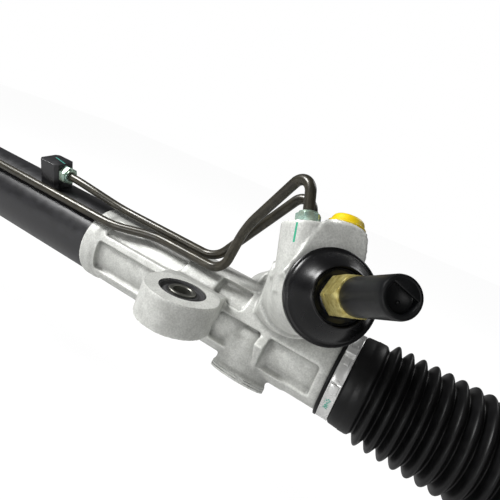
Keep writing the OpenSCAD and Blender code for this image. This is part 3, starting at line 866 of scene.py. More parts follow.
@dataclass
class Casting:
    """Cast housing: barrel with rails, ear, valve tower, port bosses and guide boss."""

    voxel: float = 0.88
    barrel_r: float = 25.2
    flange_x: float = -101.0
    flange_r: float = 26.2
    mouth_x: float = 87.5
    mouth_r: float = 24.3
    beyond_r: float = 34.0
    ear_r: float = 20.8
    ear_h: float = 17.8
    ear_draft: float = 0.2
    face_stock: float = 0.6
    tower_r: float = 20.2
    ring_r: float = 22.5
    spigot_r: float = 18.6
    foot_r: float = 18.0
    flank: Place = (-0.955, 0.235, -0.182)
    flank_at: float = 12.3
    piped_boss_r: float = 12.6
    plugged_boss_r: float = 10.9
    boss_draft: float = 0.9
    guide_r: float = 17.9
    guide_h: float = 33.2
    groove_r: float = 17.3
    grooves: Point = (30.3, 31.7)
    fin_at: Place = (42.4, -19.5, -5.0)
    fin_lean: float = 24.0
    bar_bore_r: float = 18.0
    cap_bore_r: float = 15.0
    guide_bore_r: float = 14.0
    port_bore_r: float = 4.0
    pockets: tuple[Pocket, ...] = (
        Pocket(-88, -36, -31, 18, 21.4),
        Pocket(9, 76, -30, 18, 20.4),
        Pocket(-86, -24, 30, 60, 23.2),
        Pocket(1, 23, 30, 64, 21.4),
    )
    foot_ribs: tuple[Rib, ...] = (
        Rib((22.5, 4, 24.7), (28.5, 8, 30.6), 1.7),
        Rib((25.8, -9.8, 23), (24.8, 0, 25), 1.5),
        Rib((36.8, -22, 10.0), (31.5, -13, 21), 1.3),
    )

    def barrel(self) -> bpy.types.Object:
        """Builds the barrel with its flange, and its rails as what the pockets leave.

        Returns:
            The barrel.
        """
        # Flange at the tube, long barrel, then the mouth that the boot's band grips
        outline = [(0, self.flange_x), (25.6, self.flange_x), (self.flange_r, -100), (self.flange_r, -93),
                   (25.3, -90), (self.barrel_r, 60), (24.6, 62), (24.5, 81), (self.mouth_r, 82),
                   (self.mouth_r, self.mouth_x), (0, self.mouth_x)]
        body = lathe("barrel", outline, along_rack(), 120)
        for hollow in self.pockets:
            cut(body, sector("pocket", hollow.start, hollow.end, hollow.low, hollow.high,
                             hollow.floor_r, self.beyond_r))
        return body

    def ear(self) -> list[bpy.types.Object]:
        """Builds the drafted ear barrel and the arm that carries it, under one falling top.

        Returns:
            The ear and the arm.
        """
        half = self.ear_h / 2
        centre = Matrix.Identity(4)
        barrel = drum("ear", centre, -half, half + self.face_stock, self.ear_r + self.ear_draft,
                      self.ear_r - self.ear_draft)
        plan = [(-20.4, -1), (20.2, -1), (18.8, 6), (12, 30), (9, 44), (-30, 44), (-25, 30)]
        arm = prism("arm", plan, -half + 1.2, half - 0.8, centre)
        over_top = [(15.2, 9.2), (15.2, 14), (50, 14), (50, -1.5)]
        beside = 40
        for piece in (barrel, arm):
            cut(piece, prism("fall", over_top, -beside, beside, end_view()))
        return [barrel, arm]

    def lobe(self, ends: tuple[Point, Point], radius: float, height: float,
             ports: Matrix) -> list[bpy.types.Object]:
        """Builds a port boss from two tapered round ends and a web between them.

        Args:
            ends: Place of each port across and along the pinion's axis.
            radius: Radius of the round ends at their top.
            height: Height of the top over the pinion's axis.
            ports: Frame with Y out of these ports.

        Returns:
            The pieces of the boss.
        """
        pieces = [drum("boss", over_port(ports, port, 0), 0, height, radius + self.boss_draft, radius)
                  for port in ends]
        first, last = (Vector(port) for port in ends)
        run = (last - first).normalized()
        side = Vector((-run.y, run.x)) * radius
        plan = [first + side, first - side, last - side, last + side]
        out_of_ports = ports @ Matrix(((1, 0, 0, 0), (0, 0, 1, 0), (0, 1, 0, 0), (0, 0, 0, 1)))
        pieces.append(prism("boss_web", plan, 0, height - 0.3, out_of_ports))
        return pieces

    def tower(self) -> list[bpy.types.Object]:
        """Builds the leaning tower with its ring and flat flank, its foot and the web to the bosses.

        Returns:
            The tower, the foot and the web.
        """
        # Taper of the foot, stout ring, drafted tower, then the spigot under the dust cover
        outline = [(0, -4), (18, -4), (18.4, 3), (self.ring_r, 7), (self.ring_r, 40), (22.2, 40.4),
                   (self.tower_r, 40.7), (19.4, 70), (19.2, 80), (self.spigot_r, 80), (self.spigot_r, 86),
                   (0, 86)]
        tower = lathe("tower", outline, pinion_frame())
        below = [(0, -42), (17.4, -42), (self.foot_r, -41), (self.foot_r, 3), (0, 3)]
        foot = lathe("foot", below, pinion_frame())
        flank = Vector(self.flank)
        out = flank.to_track_quat("Z", "Y").to_matrix().to_4x4()
        off_flank = port_frame() @ Matrix.Translation(flank * self.flank_at) @ out
        beyond = 60
        slab = [(-beyond, -beyond), (beyond, -beyond), (beyond, beyond), (-beyond, beyond)]
        cut(tower, prism("flank", slab, 0, beyond, off_flank))
        plan = [(-20.5, 8.5), (-4.6, 32.4), (-2.8, 34.2), (11, 34), (16.5, 31.4), (18.2, 28.5), (18, 22),
                (16, 6), (0, -6), (-14, -2)]
        web = prism("web", plan, 50, 79.3, port_frame())
        return [tower, foot, web]

    def guide(self) -> list[bpy.types.Object]:
        """Builds the guide boss, wide at its root and rimmed at its mouth, and the fin before it.

        Returns:
            The boss and the fin.
        """
        outline = [(0, 2), (21.0, 4), (21.2, 8), (20.8, 12), (19.5, 16), (18.1, 20), (17.2, 24), (16.9, 28.4),
                   (self.guide_r, 29.4), (self.guide_r, self.guide_h), (0, self.guide_h)]
        boss = lathe("guide", outline, guide_frame())
        foot_and_top = ((-13.5, 0.5), (12.0, 2.8))  # height and half width of the fin
        corners = [(x * half, y, z) for z, half in foot_and_top for y in (-7, 6) for x in (-1, 1)]
        faces = [(0, 1, 3, 2), (4, 6, 7, 5), (0, 4, 5, 1), (2, 3, 7, 6), (0, 2, 6, 4), (1, 5, 7, 3)]
        frame = rack_frame() @ Matrix.Translation(self.fin_at) @ turned(self.fin_lean, "X")
        return [boss, mesh_object("fin", corners, faces, frame)]

    def cutters(self) -> list[bpy.types.Object]:
        """Builds what the machine tools take away: faces, bores and seats.

        Returns:
            The cutters in their order of use.
        """
        half = self.ear_h / 2
        centre = Matrix.Identity(4)
        piped = [over_port(port_frame(), port, 0) for port in (FRONT_PORT, REAR_PORT)]
        plugged = [over_port(plug_frame(), port, 0) for port in (YELLOW_PORT, BLUE_PORT)]
        holes = [drum("port", frame, 20, 60, self.port_bore_r) for frame in piped + plugged]
        beyond = self.guide_r + 1.6
        grooves = [lathe("groove", [(self.groove_r, z - 0.12), (beyond, z - 0.45), (beyond, z + 0.45),
                                    (self.groove_r, z + 0.12)], guide_frame())
                   for z in self.grooves]
        return [
            drum("ear_face", centre, half, half + 9, 24),
            drum("ear_bore", centre, -30, 30, BUSH_R),
            drum("tube_seat", along_rack(), -110, -91, TUBE_R),
            drum("bar_bore", along_rack(), -95, 100, self.bar_bore_r),
            drum("valve_bore", pinion_frame(), 32, 95, VALVE_BORE_R),
            drum("cap_bore", pinion_frame(), -50, -26, self.cap_bore_r),
            drum("guide_bore", guide_frame(), 20, 40, self.guide_bore_r),
        ] + holes + grooves

    def build(self, wardrobe: Wardrobe) -> list[bpy.types.Object]:
        """Joins the cast forms, softens their corners and machines the faces.

        Args:
            wardrobe: Source of the finishes.

        Returns:
            The casting.
        """
        piped_boss = self.lobe((FRONT_PORT, REAR_PORT), self.piped_boss_r, PIPED_BOSS_H, port_frame())
        plugged_boss = self.lobe((YELLOW_PORT, BLUE_PORT), self.plugged_boss_r, PLUGGED_BOSS_H,
                                 plug_frame())
        forms = [self.barrel()] + self.ear() + self.tower() + self.guide()
        forms += [rib.build() for rib in self.foot_ribs] + piped_boss + plugged_boss
        body = join(forms, "casting")
        bake(body, "REMESH", mode="VOXEL", voxel_size=self.voxel * MM, adaptivity=0.0)
        bake(body, "SMOOTH", factor=0.5, iterations=2)
        body.data.materials.clear()
        body.data.materials.append(wardrobe.get("cast_aluminium"))
        for cutter in self.cutters():
            cutter.data.materials.append(wardrobe.get("machined_aluminium"))
            cut(body, cutter)
        sharpen(body, 40)
        return [dress(body, wardrobe.get("cast_aluminium"), "cast_aluminium", Body.HOUSING, "rack_housing")]


class Tree:
    """A geometry node tree under construction."""

    def __init__(self, name: str, inputs: dict[str, float], material: bpy.types.Material) -> None:
        """Starts a tree with one geometry input and named number inputs.

        Args:
            name: Name of the tree.
            inputs: Input name to the value that it gets.
            material: Material that the result gets.
        """
        self.tree = bpy.data.node_groups.new(name, "GeometryNodeTree")
        self.tree.interface.new_socket("Geometry", in_out="INPUT", socket_type="NodeSocketGeometry")
        self.tree.interface.new_socket("Geometry", in_out="OUTPUT", socket_type="NodeSocketGeometry")
        self.values = {}
        for label, value in inputs.items():
            kind = "NodeSocketInt" if isinstance(value, int) else "NodeSocketFloat"
            socket = self.tree.interface.new_socket(label, in_out="INPUT", socket_type=kind)
            self.values[socket.identifier] = value
        self.source = self.tree.nodes.new("NodeGroupInput").outputs
        self.material = material

    def add(self, kind: str, links: dict | None = None, **settings: object) -> bpy.types.Node:
        """Adds a node of the tree, linked and set."""
        return node(self.tree, kind, links, **settings)

    def math(self, operation: str, *values: object) -> bpy.types.NodeSocket:
        """Adds one sum and gives its result."""
        return self.add("ShaderNodeMath", dict(enumerate(values)), operation=operation).outputs[0]

    def finish(self, geometry: bpy.types.NodeSocket) -> None:
        """Ends the tree: instances realised, material set.

        Args:
            geometry: The shape that the tree has built.
        """
        real = self.add("GeometryNodeRealizeInstances", {"Geometry": geometry})
        dressed = self.add("GeometryNodeSetMaterial", {
            "Geometry": real.outputs[0], "Material": self.material})
        self.add("NodeGroupOutput", {0: dressed.outputs[0]})

    def run(self, obj: bpy.types.Object) -> bpy.types.Object:
        """Runs the tree on an object and keeps the result as its plain mesh.

        Args:
            obj: Object that feeds the tree, a mesh or a curve.

        Returns:
            A mesh object of the same name.
        """
        modifier = obj.modifiers.new("shape", "NODES")
        modifier.node_group = self.tree
        for identifier, value in self.values.items():
            modifier[identifier] = value
        bpy.context.view_layer.update()
        mesh = bpy.data.meshes.new_from_object(obj.evaluated_get(bpy.context.evaluated_depsgraph_get()))
        name = obj.name
        bpy.data.objects.remove(obj)
        made = bpy.data.objects.new(name, mesh)
        bpy.context.scene.collection.objects.link(made)
        return made


def route_curve(name: str, points: Sequence[Vector]) -> bpy.types.Object:
    """Makes an angular curve through points of the rack frame, with wider bends where it turns less.

    Args:
        name: Name of the object.
        points: Corner points of the route.

    Returns:
        The curve, whose point radius is each bend's share of the tightest one.
    """
    lead = 1.3  # how far from its corner a gentle bend starts, as a share of the tightest bend's radius
    data = bpy.data.curves.new(name, "CURVE")
    data.dimensions = "3D"
    spline = data.splines.new("POLY")
    spline.points.add(len(points) - 1)
    for index, (spot, point) in enumerate(zip(spline.points, points)):
        spot.co = (*((rack_frame() @ Vector(point)) * MM), 1.0)
        if 0 < index < len(points) - 1:
            turn = (points[index] - points[index - 1]).angle(points[index + 1] - points[index])
            spot.radius = max(1.0, lead / math.tan(turn / 2))
    obj = bpy.data.objects.new(name, data)
    bpy.context.scene.collection.objects.link(obj)
    return obj


@dataclass(frozen=True)
class PortBlock:
    """A steel block on the tube that a pipe enters from the near side."""

    name: str
    x: float
    turn: float
    entry_h: float
    top_h: float
    half_length: float = 9.25
    half_width: float = 8.0
    chamfer: float = 2.2
    foot_h: float = 22.5

    def point(self, x: float, height: float) -> Vector:
        """Gives a point of the rack frame at a height over the tube's axis in the block's plane."""
        angle = math.radians(self.turn)
        return Vector((x, -math.sin(angle) * height, math.cos(angle) * height))

    def nut_seat(self) -> Matrix:
        """Gives the frame on the block's near side, with Z towards the pipe."""
        to_entry = Matrix.Translation((self.half_length, 0, self.entry_h))
        return tube_seat(self.x, self.turn) @ to_entry @ turned(90, "Y")

    def build(self) -> bpy.types.Object:
        """Builds the block with chamfered corners, hollowed to sit on the tube.

        Returns:
            The block, not yet dressed.
        """
        long_x = self.half_length - self.chamfer
        long_y = self.half_width - self.chamfer
        plan = [(self.half_length, long_y), (long_x, self.half_width), (-long_x, self.half_width),
                (-self.half_length, long_y), (-self.half_length, -long_y), (-long_x, -self.half_width),
                (long_x, -self.half_width), (self.half_length, -long_y)]
        body = prism(self.name + "_steel", plan, self.foot_h, self.top_h, tube_seat(self.x, self.turn))
        low = self.x - 2 * self.half_length
        high = self.x + 2 * self.half_length
        cut(body, lathe("tube", [(0, low), (TUBE_R, low), (TUBE_R, high), (0, high)], along_rack()))
        round_edges(body, 0.8, 3, 40)
        return sharpen(body, 30)


@dataclass
class FluidLines:
    """Two bent steel pipes, their flare nuts and the port blocks on the tube."""

    pipe_r: float = 2.9
    pipe_sides: int = 28
    bend_r: float = 7.5
    bend_steps: int = 16
    nut_af: float = 11.3
    nut_h: float = 5.6
    nut_hole_r: float = 2.95
    near_block: PortBlock = PortBlock("near_port_block", -156.5, 18.0, 36, 43.6)
    far_block: PortBlock = PortBlock("far_port_block", -325.0, 45.7, 33, 41.1)

    def port_point(self, port: Point, height: float) -> Vector:
        """Gives a point of the rack frame at a height over the pinion's axis in a port."""
        across, along = port
        return rack_frame().inverted() @ (port_frame() @ Vector((across, height, along)))

    def routes(self) -> dict[str, list[Vector]]:
        """Gives the corner points of the two pipes, in the rack frame.

        Returns:
            Name of the CAD node to the points of its route.
        """
        return {
            "long_pipe": [
                self.port_point(FRONT_PORT, 33), self.port_point(FRONT_PORT, 63), Vector((6.3, -20.8, 57.5)),
                Vector((0.8, -17.6, 26.4)), Vector((-53, -14.3, 25.6)), Vector((-83, -21, 20.4)),
                Vector((-283, -21, 20.4)), self.far_block.point(-299, 33), self.far_block.point(-319, 33)],
            "short_pipe": [
                self.port_point(REAR_PORT, 33), self.port_point(REAR_PORT, 59), Vector((-10.5, -8.5, 29.2)),
                Vector((-92, -7.3, 29.2)), self.near_block.point(-117, 34.2), self.near_block.point(-135, 36),
                self.near_block.point(-151, 36)],
        }

    def pipe_tree(self, material: bpy.types.Material) -> Tree:
        """Builds the tree that rounds a route's corners and sweeps the pipe along it.

        Args:
            material: Finish of the pipes.

        Returns:
            The tree.
        """
        tree = Tree("swept_pipe", {
            "Pipe radius": self.pipe_r * MM, "Bend radius": self.bend_r * MM}, material)
        share = tree.add("GeometryNodeInputRadius").outputs[0]
        wide = tree.math("MULTIPLY", tree.source["Bend radius"], share)
        soft = tree.add("GeometryNodeFilletCurve", {
            0: tree.source["Geometry"], "Radius": wide, "Count": self.bend_steps,
            "Limit Radius": True}, mode="POLY")
        even = tree.add("GeometryNodeSetCurveRadius", {0: soft.outputs[0], "Radius": 1.0})
        ring = tree.add("GeometryNodeCurvePrimitiveCircle", {
            "Resolution": self.pipe_sides, "Radius": tree.source["Pipe radius"]})
        swept = tree.add("GeometryNodeCurveToMesh", {
            "Curve": even.outputs[0], "Profile Curve": ring.outputs[0], "Fill Caps": True})
        tree.finish(swept.outputs[0])
        return tree

    def nut(self, frame: Matrix) -> bpy.types.Object:
        """Builds a flare nut with chamfered corners and a turned collar.

        Args:
            frame: Frame of the nut's seat, with Z towards the pipe.

        Returns:
            The nut.
        """
        body = prism("nut", hexagon(self.nut_af), 0.05, self.nut_h, frame)
        chamfer = [(0, -1), (9, -1), (9, 3.6), (self.nut_af / 2 - 0.3, self.nut_h), (0, self.nut_h)]
        cut(body, lathe("chamfer", chamfer, frame, 48), "INTERSECT")
        round_edges(body, 0.2, 2)
        neck = [(self.nut_hole_r, 5), (4.9, 5), (4.7, 6.5), (3.6, 6.5), (self.nut_hole_r, 6.2)]
        return join([body, lathe("collar", neck, frame, 40)], "nut")

    def build(self, wardrobe: Wardrobe) -> list[bpy.types.Object]:
        """Builds the pipes, the nuts and the blocks.

        Args:
            wardrobe: Source of the finishes.

        Returns:
            The two pipes, the four nuts as one piece and the two blocks.
        """
        paint = wardrobe.get("pipe_paint")
        tree = self.pipe_tree(paint)
        pieces = []
        for name, points in self.routes().items():
            pipe = tree.run(route_curve("bent_" + name, points))
            pieces.append(dress(sharpen(pipe, 50), paint, "pipe_paint", Body.HOUSING, name))
        blocks = (self.near_block, self.far_block)
        seats = [over_port(port_frame(), port, PIPED_BOSS_H) for port in (FRONT_PORT, REAR_PORT)]
        seats += [block.nut_seat() for block in blocks]
        nuts = sharpen(join([self.nut(seat) for seat in seats], "flare_nuts_zinc"), 30)
        pieces.append(dress(nuts, wardrobe.get("painted_zinc"), "zinc_steel", Body.HOUSING, "flare_nuts"))
        enamel = wardrobe.get("black_paint")
        for block in blocks:
            pieces.append(dress(block.build(), enamel, "black_paint", Body.HOUSING, block.name))
        return pieces


@dataclass(frozen=True)
class BootSpan:
    """A length of the near boot that bends between two bodies, from where to where it does so."""

    label: str
    start: float
    end: float
    first: Body
    second: Body
    bend_from: float
    bend_to: float


@dataclass
class Boot:
    """Bellows boot with its cuff, its folds and the neck that grips the tie rod."""

    lip_x: float = 81.7
    mouth_r: float = 25.45
    start: float = 104.4
    pitch: float = 7.1
    folds: int = 18
    rows_per_fold: int = 14
    ring: int = 96
    peak_r: float = 29.8
    root_r: float = 24.6
    crest_power: float = 0.62
    taper_from: float = 0.84
    taper: float = 7.5
    wall: float = 1.5
    tail_x: float = 204.0
    neck_x: float = 228.0
    grip_x: float = 250.0
    past_x: float = 400.0

    def folds_tree(self, material: bpy.types.Material) -> Tree:
        """Builds the tree that rolls a flat grid into the folded skin of the boot.

        Args:
            material: Finish of the boot.

        Returns:
            The tree.
        """
        tree = Tree("bellows_skin", {
            "Start": self.start * MM, "Pitch": self.pitch * MM, "Folds": self.folds,
            "Peak radius": self.peak_r * MM, "Root radius": self.root_r * MM}, material)
        source = tree.source
        length = tree.math("MULTIPLY", source["Folds"], source["Pitch"])
        rows = tree.math("ADD", tree.math("MULTIPLY", source["Folds"], self.rows_per_fold), 1)
        grid = tree.add("GeometryNodeMeshGrid", {
            "Size X": 1.0, "Size Y": 1.0, "Vertices X": rows, "Vertices Y": self.ring + 1})
        position = tree.add("GeometryNodeInputPosition").outputs[0]
        spot = tree.add("ShaderNodeSeparateXYZ", {0: position}).outputs
        share = tree.math("ADD", spot["X"], 0.5)
        angle = tree.math("MULTIPLY", spot["Y"], 2 * math.pi)
        turns = tree.math("MULTIPLY", share, source["Folds"])
        wave = tree.math("COSINE", tree.math("MULTIPLY", turns, 2 * math.pi))
        swell = tree.math("SUBTRACT", 0.5, tree.math("MULTIPLY", wave, 0.5))
        crest = tree.math("POWER", swell, self.crest_power)
        depth = tree.math("SUBTRACT", source["Peak radius"], source["Root radius"])
        height = tree.math("MULTIPLY", crest, depth)
        narrowing = tree.add("ShaderNodeMapRange", {
            "Value": share, "From Min": self.taper_from, "From Max": 1.0,
            "To Min": 0.0, "To Max": self.taper * MM}).outputs[0]
        radius = tree.math("SUBTRACT", tree.math("ADD", source["Root radius"], height), narrowing)
        place = tree.add("ShaderNodeCombineXYZ", {
            0: tree.math("ADD", source["Start"], tree.math("MULTIPLY", share, length)),
            1: tree.math("MULTIPLY", radius, tree.math("COSINE", angle)),
            2: tree.math("MULTIPLY", radius, tree.math("SINE", angle))})
        moved = tree.add("GeometryNodeSetPosition", {
            "Geometry": grid.outputs[0], "Position": place.outputs[0]})
        merged = tree.add("GeometryNodeMergeByDistance", {
            "Geometry": moved.outputs[0], "Distance": GRID_SEAM})
        tree.finish(merged.outputs[0])
        return tree

    def cuff(self) -> list[Point]:
        """Gives the skin from the boot's lip to its first fold, as (radius, place along the rack).

        Returns:
            The outline.
        """
        lip = [(25.0, self.lip_x + 0.1), (25.7, self.lip_x), (26.5, self.lip_x + 0.4),
               (26.5, self.lip_x + 1.7)]
        band_seat = [(self.mouth_r, self.lip_x + 2.1), (self.mouth_r, 90.5), (26.2, 90.9), (26.6, 91.8)]
        sleeve = [(26.9, 96), (26.9, 97), (27.15, 97.4), (27.1, 101.6), (26.7, 102.7), (25.7, 103.5),
                  (self.root_r, self.start)]
        return lip + band_seat + sleeve

    def neck(self) -> list[Point]:
        """Gives the skin from the last fold to the boot's end on the tie rod, outlined as the cuff is.

        Returns:
            The outline.
        """
        end = self.start + self.folds * self.pitch
        shoulder = [(self.root_r - self.taper, end), (15.2, end + 0.8), (12.6, end + 2.6), (11.2, end + 5),
                    (10.9, end + 8)]
        clip_seat = [(10.6, end + 9), (10.6, end + 13)]
        end_bead = [(11.2, end + 13.6), (11.2, end + 16), (9.6, end + 16.4)]
        return shoulder + clip_seat + end_bead

    def skin(self, name: str, material: bpy.types.Material) -> bpy.types.Object:
        """Builds the whole boot at the near end, with its wall.

        Args:
            name: Name of the object.
            material: Finish of the boot.

        Returns:
            The boot.
        """
        seed = mesh_object(name, [(0, 0, 0), (1, 0, 0), (0, 1, 0)], [(0, 1, 2)], Matrix.Identity(4))
        bellows = self.folds_tree(material).run(seed)
        work = bmesh.new()
        work.from_mesh(bellows.data)
        angles = [2 * math.pi * k / self.ring for k in range(self.ring)]
        for outline in (self.cuff(), self.neck()):
            rows = [[work.verts.new((x * MM, -r * math.cos(a) * MM, -r * math.sin(a) * MM)) for a in angles]
                    for r, x in outline]
            for low, high in zip(rows, rows[1:]):
                for k in range(self.ring):
                    after = (k + 1) % self.ring
                    work.faces.new((low[k], low[after], high[after], high[k]))
        bmesh.ops.remove_doubles(work, verts=work.verts, dist=CUFF_SEAM)
        bmesh.ops.recalc_face_normals(work, faces=work.faces)
        work.to_mesh(bellows.data)
        work.free()
        bake(bellows, "SOLIDIFY", thickness=self.wall * MM, offset=-1.0, use_even_offset=False)
        bellows.data.transform(Matrix.Translation(EAR_TO_RACK * MM))
        return bellows

    def spans(self, end: End) -> tuple[BootSpan, ...]:
        """Gives the boot's three lengths: one for the rack's travel, two for the rod's hinges.

        Args:
            end: End of the rack.

        Returns:
            The three lengths.
        """
        seat = Body(end.value + "_seat")
        rod = Body(end.value + "_rod")
        return (BootSpan("folds", 0.0, self.tail_x, Body.HOUSING, Body.RACK, 94.0, self.tail_x),
                BootSpan("tail", self.tail_x, self.neck_x, Body.RACK, seat, self.tail_x, self.neck_x),
                BootSpan("neck", self.neck_x, self.past_x, seat, rod, self.neck_x, self.grip_x))

    def place(self, end: End, x: float) -> float:
        """Gives the X in metres of a place along the near boot, or of its mirror at the far end."""
        return (NEAR_AND_FAR_X - x) * MM if end is End.FAR else x * MM

    def part(self, whole: bpy.types.Object, end: End, span: BootSpan,
             rubber: bpy.types.Material) -> bpy.types.Object:
        """Cuts one length out of the boot.

        Args:
            whole: The finished boot.
            end: End of the rack that it is at.
            span: Length to cut out.
            rubber: Finish of the boot.

        Returns:
            The dressed length.
        """
        piece = bpy.data.objects.new(f"{end.value}_boot_{span.label}", whole.data.copy())
        bpy.context.scene.collection.objects.link(piece)
        outwards = -1 if end is End.FAR else 1
        work = bmesh.new()
        work.from_mesh(piece.data)
        for x, keep in ((span.start, outwards), (span.end, -outwards)):
            everything = work.verts[:] + work.edges[:] + work.faces[:]
            bmesh.ops.bisect_plane(work, geom=everything, dist=SAME_SPOT, plane_co=(self.place(end, x), 0, 0),
                                   plane_no=Vector((keep, 0, 0)), clear_inner=True)
        for face in work.faces:
            face.material_index = 0
        work.to_mesh(piece.data)
        work.free()
        piece.data.materials.clear()
        piece.data.materials.append(rubber)
        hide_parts(end.value + "_boot")
        self.place(end, span.bend_from)
        self.place(end, span.bend_to)
        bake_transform(piece)
        return piece

    def build(self, wardrobe: Wardrobe) -> list[bpy.types.Object]:
        """Builds both boots, each cut in three lengths.

        Args:
            wardrobe: Source of the finishes.

        Returns:
            The six pieces.
        """
        rubber = wardrobe.get("boot_rubber")
        pieces = []
        for end in End:
            whole = self.skin(end.value + "_boot_skin", rubber)
            if end is End.FAR:
                to_far_end(whole)
            whole.data.shade_smooth()
            pieces += [self.part(whole, end, span, rubber) for span in self.spans(end)]
            bpy.data.objects.remove(whole)
        return pieces


@dataclass
class ValveEnd:
    """Dust cover, input seal, zinc collar and the cap over the splines."""

    cover_r: float = 21.2
    cover_hole_r: float = 11.8
    seal_r: float = VALVE_BORE_R - 0.1
    seal_hole_r: float = 7.06
    collar_af: float = 15.6
    collar_start: float = 97.0
    collar_end: float = 113.2
    collar_turn: float = 23.0
    shaft_r: float = 5.85
    lid_r: float = 6.3
    slit: float = 2.1
    lid_turn: float = 57.0

    def dust_cover(self) -> bpy.types.Object:
        """Turns the cover: thin rolled rim, domed face and a stepped hole, hollow behind.

        Returns:
            The cover.
        """
        skirt_and_rim = [(19.15, 82.2), (19.5, 82.2), (19.6, 84.4), (20.9, 84.7), (21.15, 85.2),
                         (self.cover_r, 86.9), (21.05, 87.6), (20.6, 88.0), (19.7, 88.1)]
        dome = [(19.2, 88.5), (18.5, 89.8), (17.4, 91.6), (16.2, 93.4), (14.8, 95.2), (13.6, 96.7),
                (13.0, 97.5), (12.5, 97.95), (12.1, 98.0)]
        hole = [(self.cover_hole_r, 97.6), (self.cover_hole_r, 96.4), (12.2, 96.0), (12.2, 93.4),
                (self.cover_hole_r, 93.0), (self.cover_hole_r, 91.5)]
        behind = [(12.9, 91.2), (18.6, 87.0)]
        outline = skirt_and_rim + dome + hole + behind
        return sharpen(lathe("dust_cover_rubber", outline, pinion_frame(), 144), 32)

    def seal(self) -> bpy.types.Object:
        """Turns the input seal with its sprung lip.

        Returns:
            The seal.
        """
        body = [(self.seal_r, 82.2), (self.seal_r, 88), (11.7, 88), (11.7, 95.8), (11.5, 96.3)]
        lip = [(11.2, 96.4), (10.9, 96.1), (10.7, 95.3), (10.2, 95.0), (8.6, 94.8), (8.0, 95.6), (7.5, 95.9),
               (self.seal_hole_r, 95.4), (self.seal_hole_r, 82.2)]
        return sharpen(lathe("input_seal_lips", body + lip, pinion_frame()), 30)

    def collar(self) -> bpy.types.Object:
        """Builds the zinc collar: hexagon, turned groove and chamfered ends.

        Returns:
            The collar.
        """
        frame = pinion_frame() @ turned(self.collar_turn, "Z")
        body = prism("zinc_collar", hexagon(self.collar_af), self.collar_start, self.collar_end, frame)
        past = 9.3
        shape = [(0, 96), (7.9, 96.9), (past, 98.3), (past, 101.2), (8.35, 101.4), (8.35, 101.9),
                 (past, 102.2), (past, 110.6), (8.2, 112.6), (7.9, self.collar_end), (0, self.collar_end)]
        cut(body, lathe("turned", shape, frame, 64), "INTERSECT")
        cut(body, drum("shaft", frame, 90, 120, self.shaft_r))
        round_edges(body, 0.12, 2, 25)
        return sharpen(body, 20)

    def cap(self) -> bpy.types.Object:
        """Builds the cap: tapered sleeve, rolled rim, hollow end and the half lid across it.

        Returns:
            The cap.
        """
        sleeve = [(6.3, 113.4), (7.3, 113.4), (7.4, 114.2), (7.15, 126), (7.0, 138)]
        rim = [(6.95, 141.2), (6.8, 142.1), (6.5, 142.7), (5.8, 142.9), (5.1, 142.6), (4.8, 142.0)]
        hollow = [(4.6, 140.2), (3.9, 139.6), (0, 139.35), (0, 139.05), (6.2, 139.05)]
        body = lathe("spline_cap_plastic", sleeve + rim + hollow, pinion_frame())
        reach = math.degrees(math.acos(self.slit / self.lid_r))
        angles = [math.radians(self.lid_turn + k * reach / 12) for k in range(-12, 13)]
        arc = [(self.lid_r * math.cos(a), self.lid_r * math.sin(a)) for a in angles]
        lid = prism("lid", arc, 141.6, 142.75, port_frame())
        round_edges(lid, 0.3, 3, 40)
        gate = [(0, 139.1), (0.55, 139.1), (0.55, 139.9), (0.3, 140.1), (0, 140.1)]
        spot = lathe("gate", gate, pinion_frame() @ Matrix.Translation((0.8, -1.2, 0)), 24)
        return sharpen(join([body, lid, spot], "spline_cap_plastic"), 40)

    def build(self, wardrobe: Wardrobe) -> list[bpy.types.Object]:
        """Builds the four pieces.

        Args:
            wardrobe: Source of the finishes.

        Returns:
            The cover, the seal, the collar and the cap.
        """
        get = wardrobe.get
        return [
            dress(self.dust_cover(), get("dust_rubber"), "black_plastic", Body.HOUSING, "dust_cover"),
            dress(self.seal(), get("seal_rubber"), "seal_rubber", Body.HOUSING, "input_seal"),
            dress(self.collar(), get("yellow_zinc"), "yellow_zinc", Body.INPUT, "hex_collar"),
            dress(self.cap(), get("black_plastic"), "black_plastic", Body.INPUT, "spline_cap"),
        ]


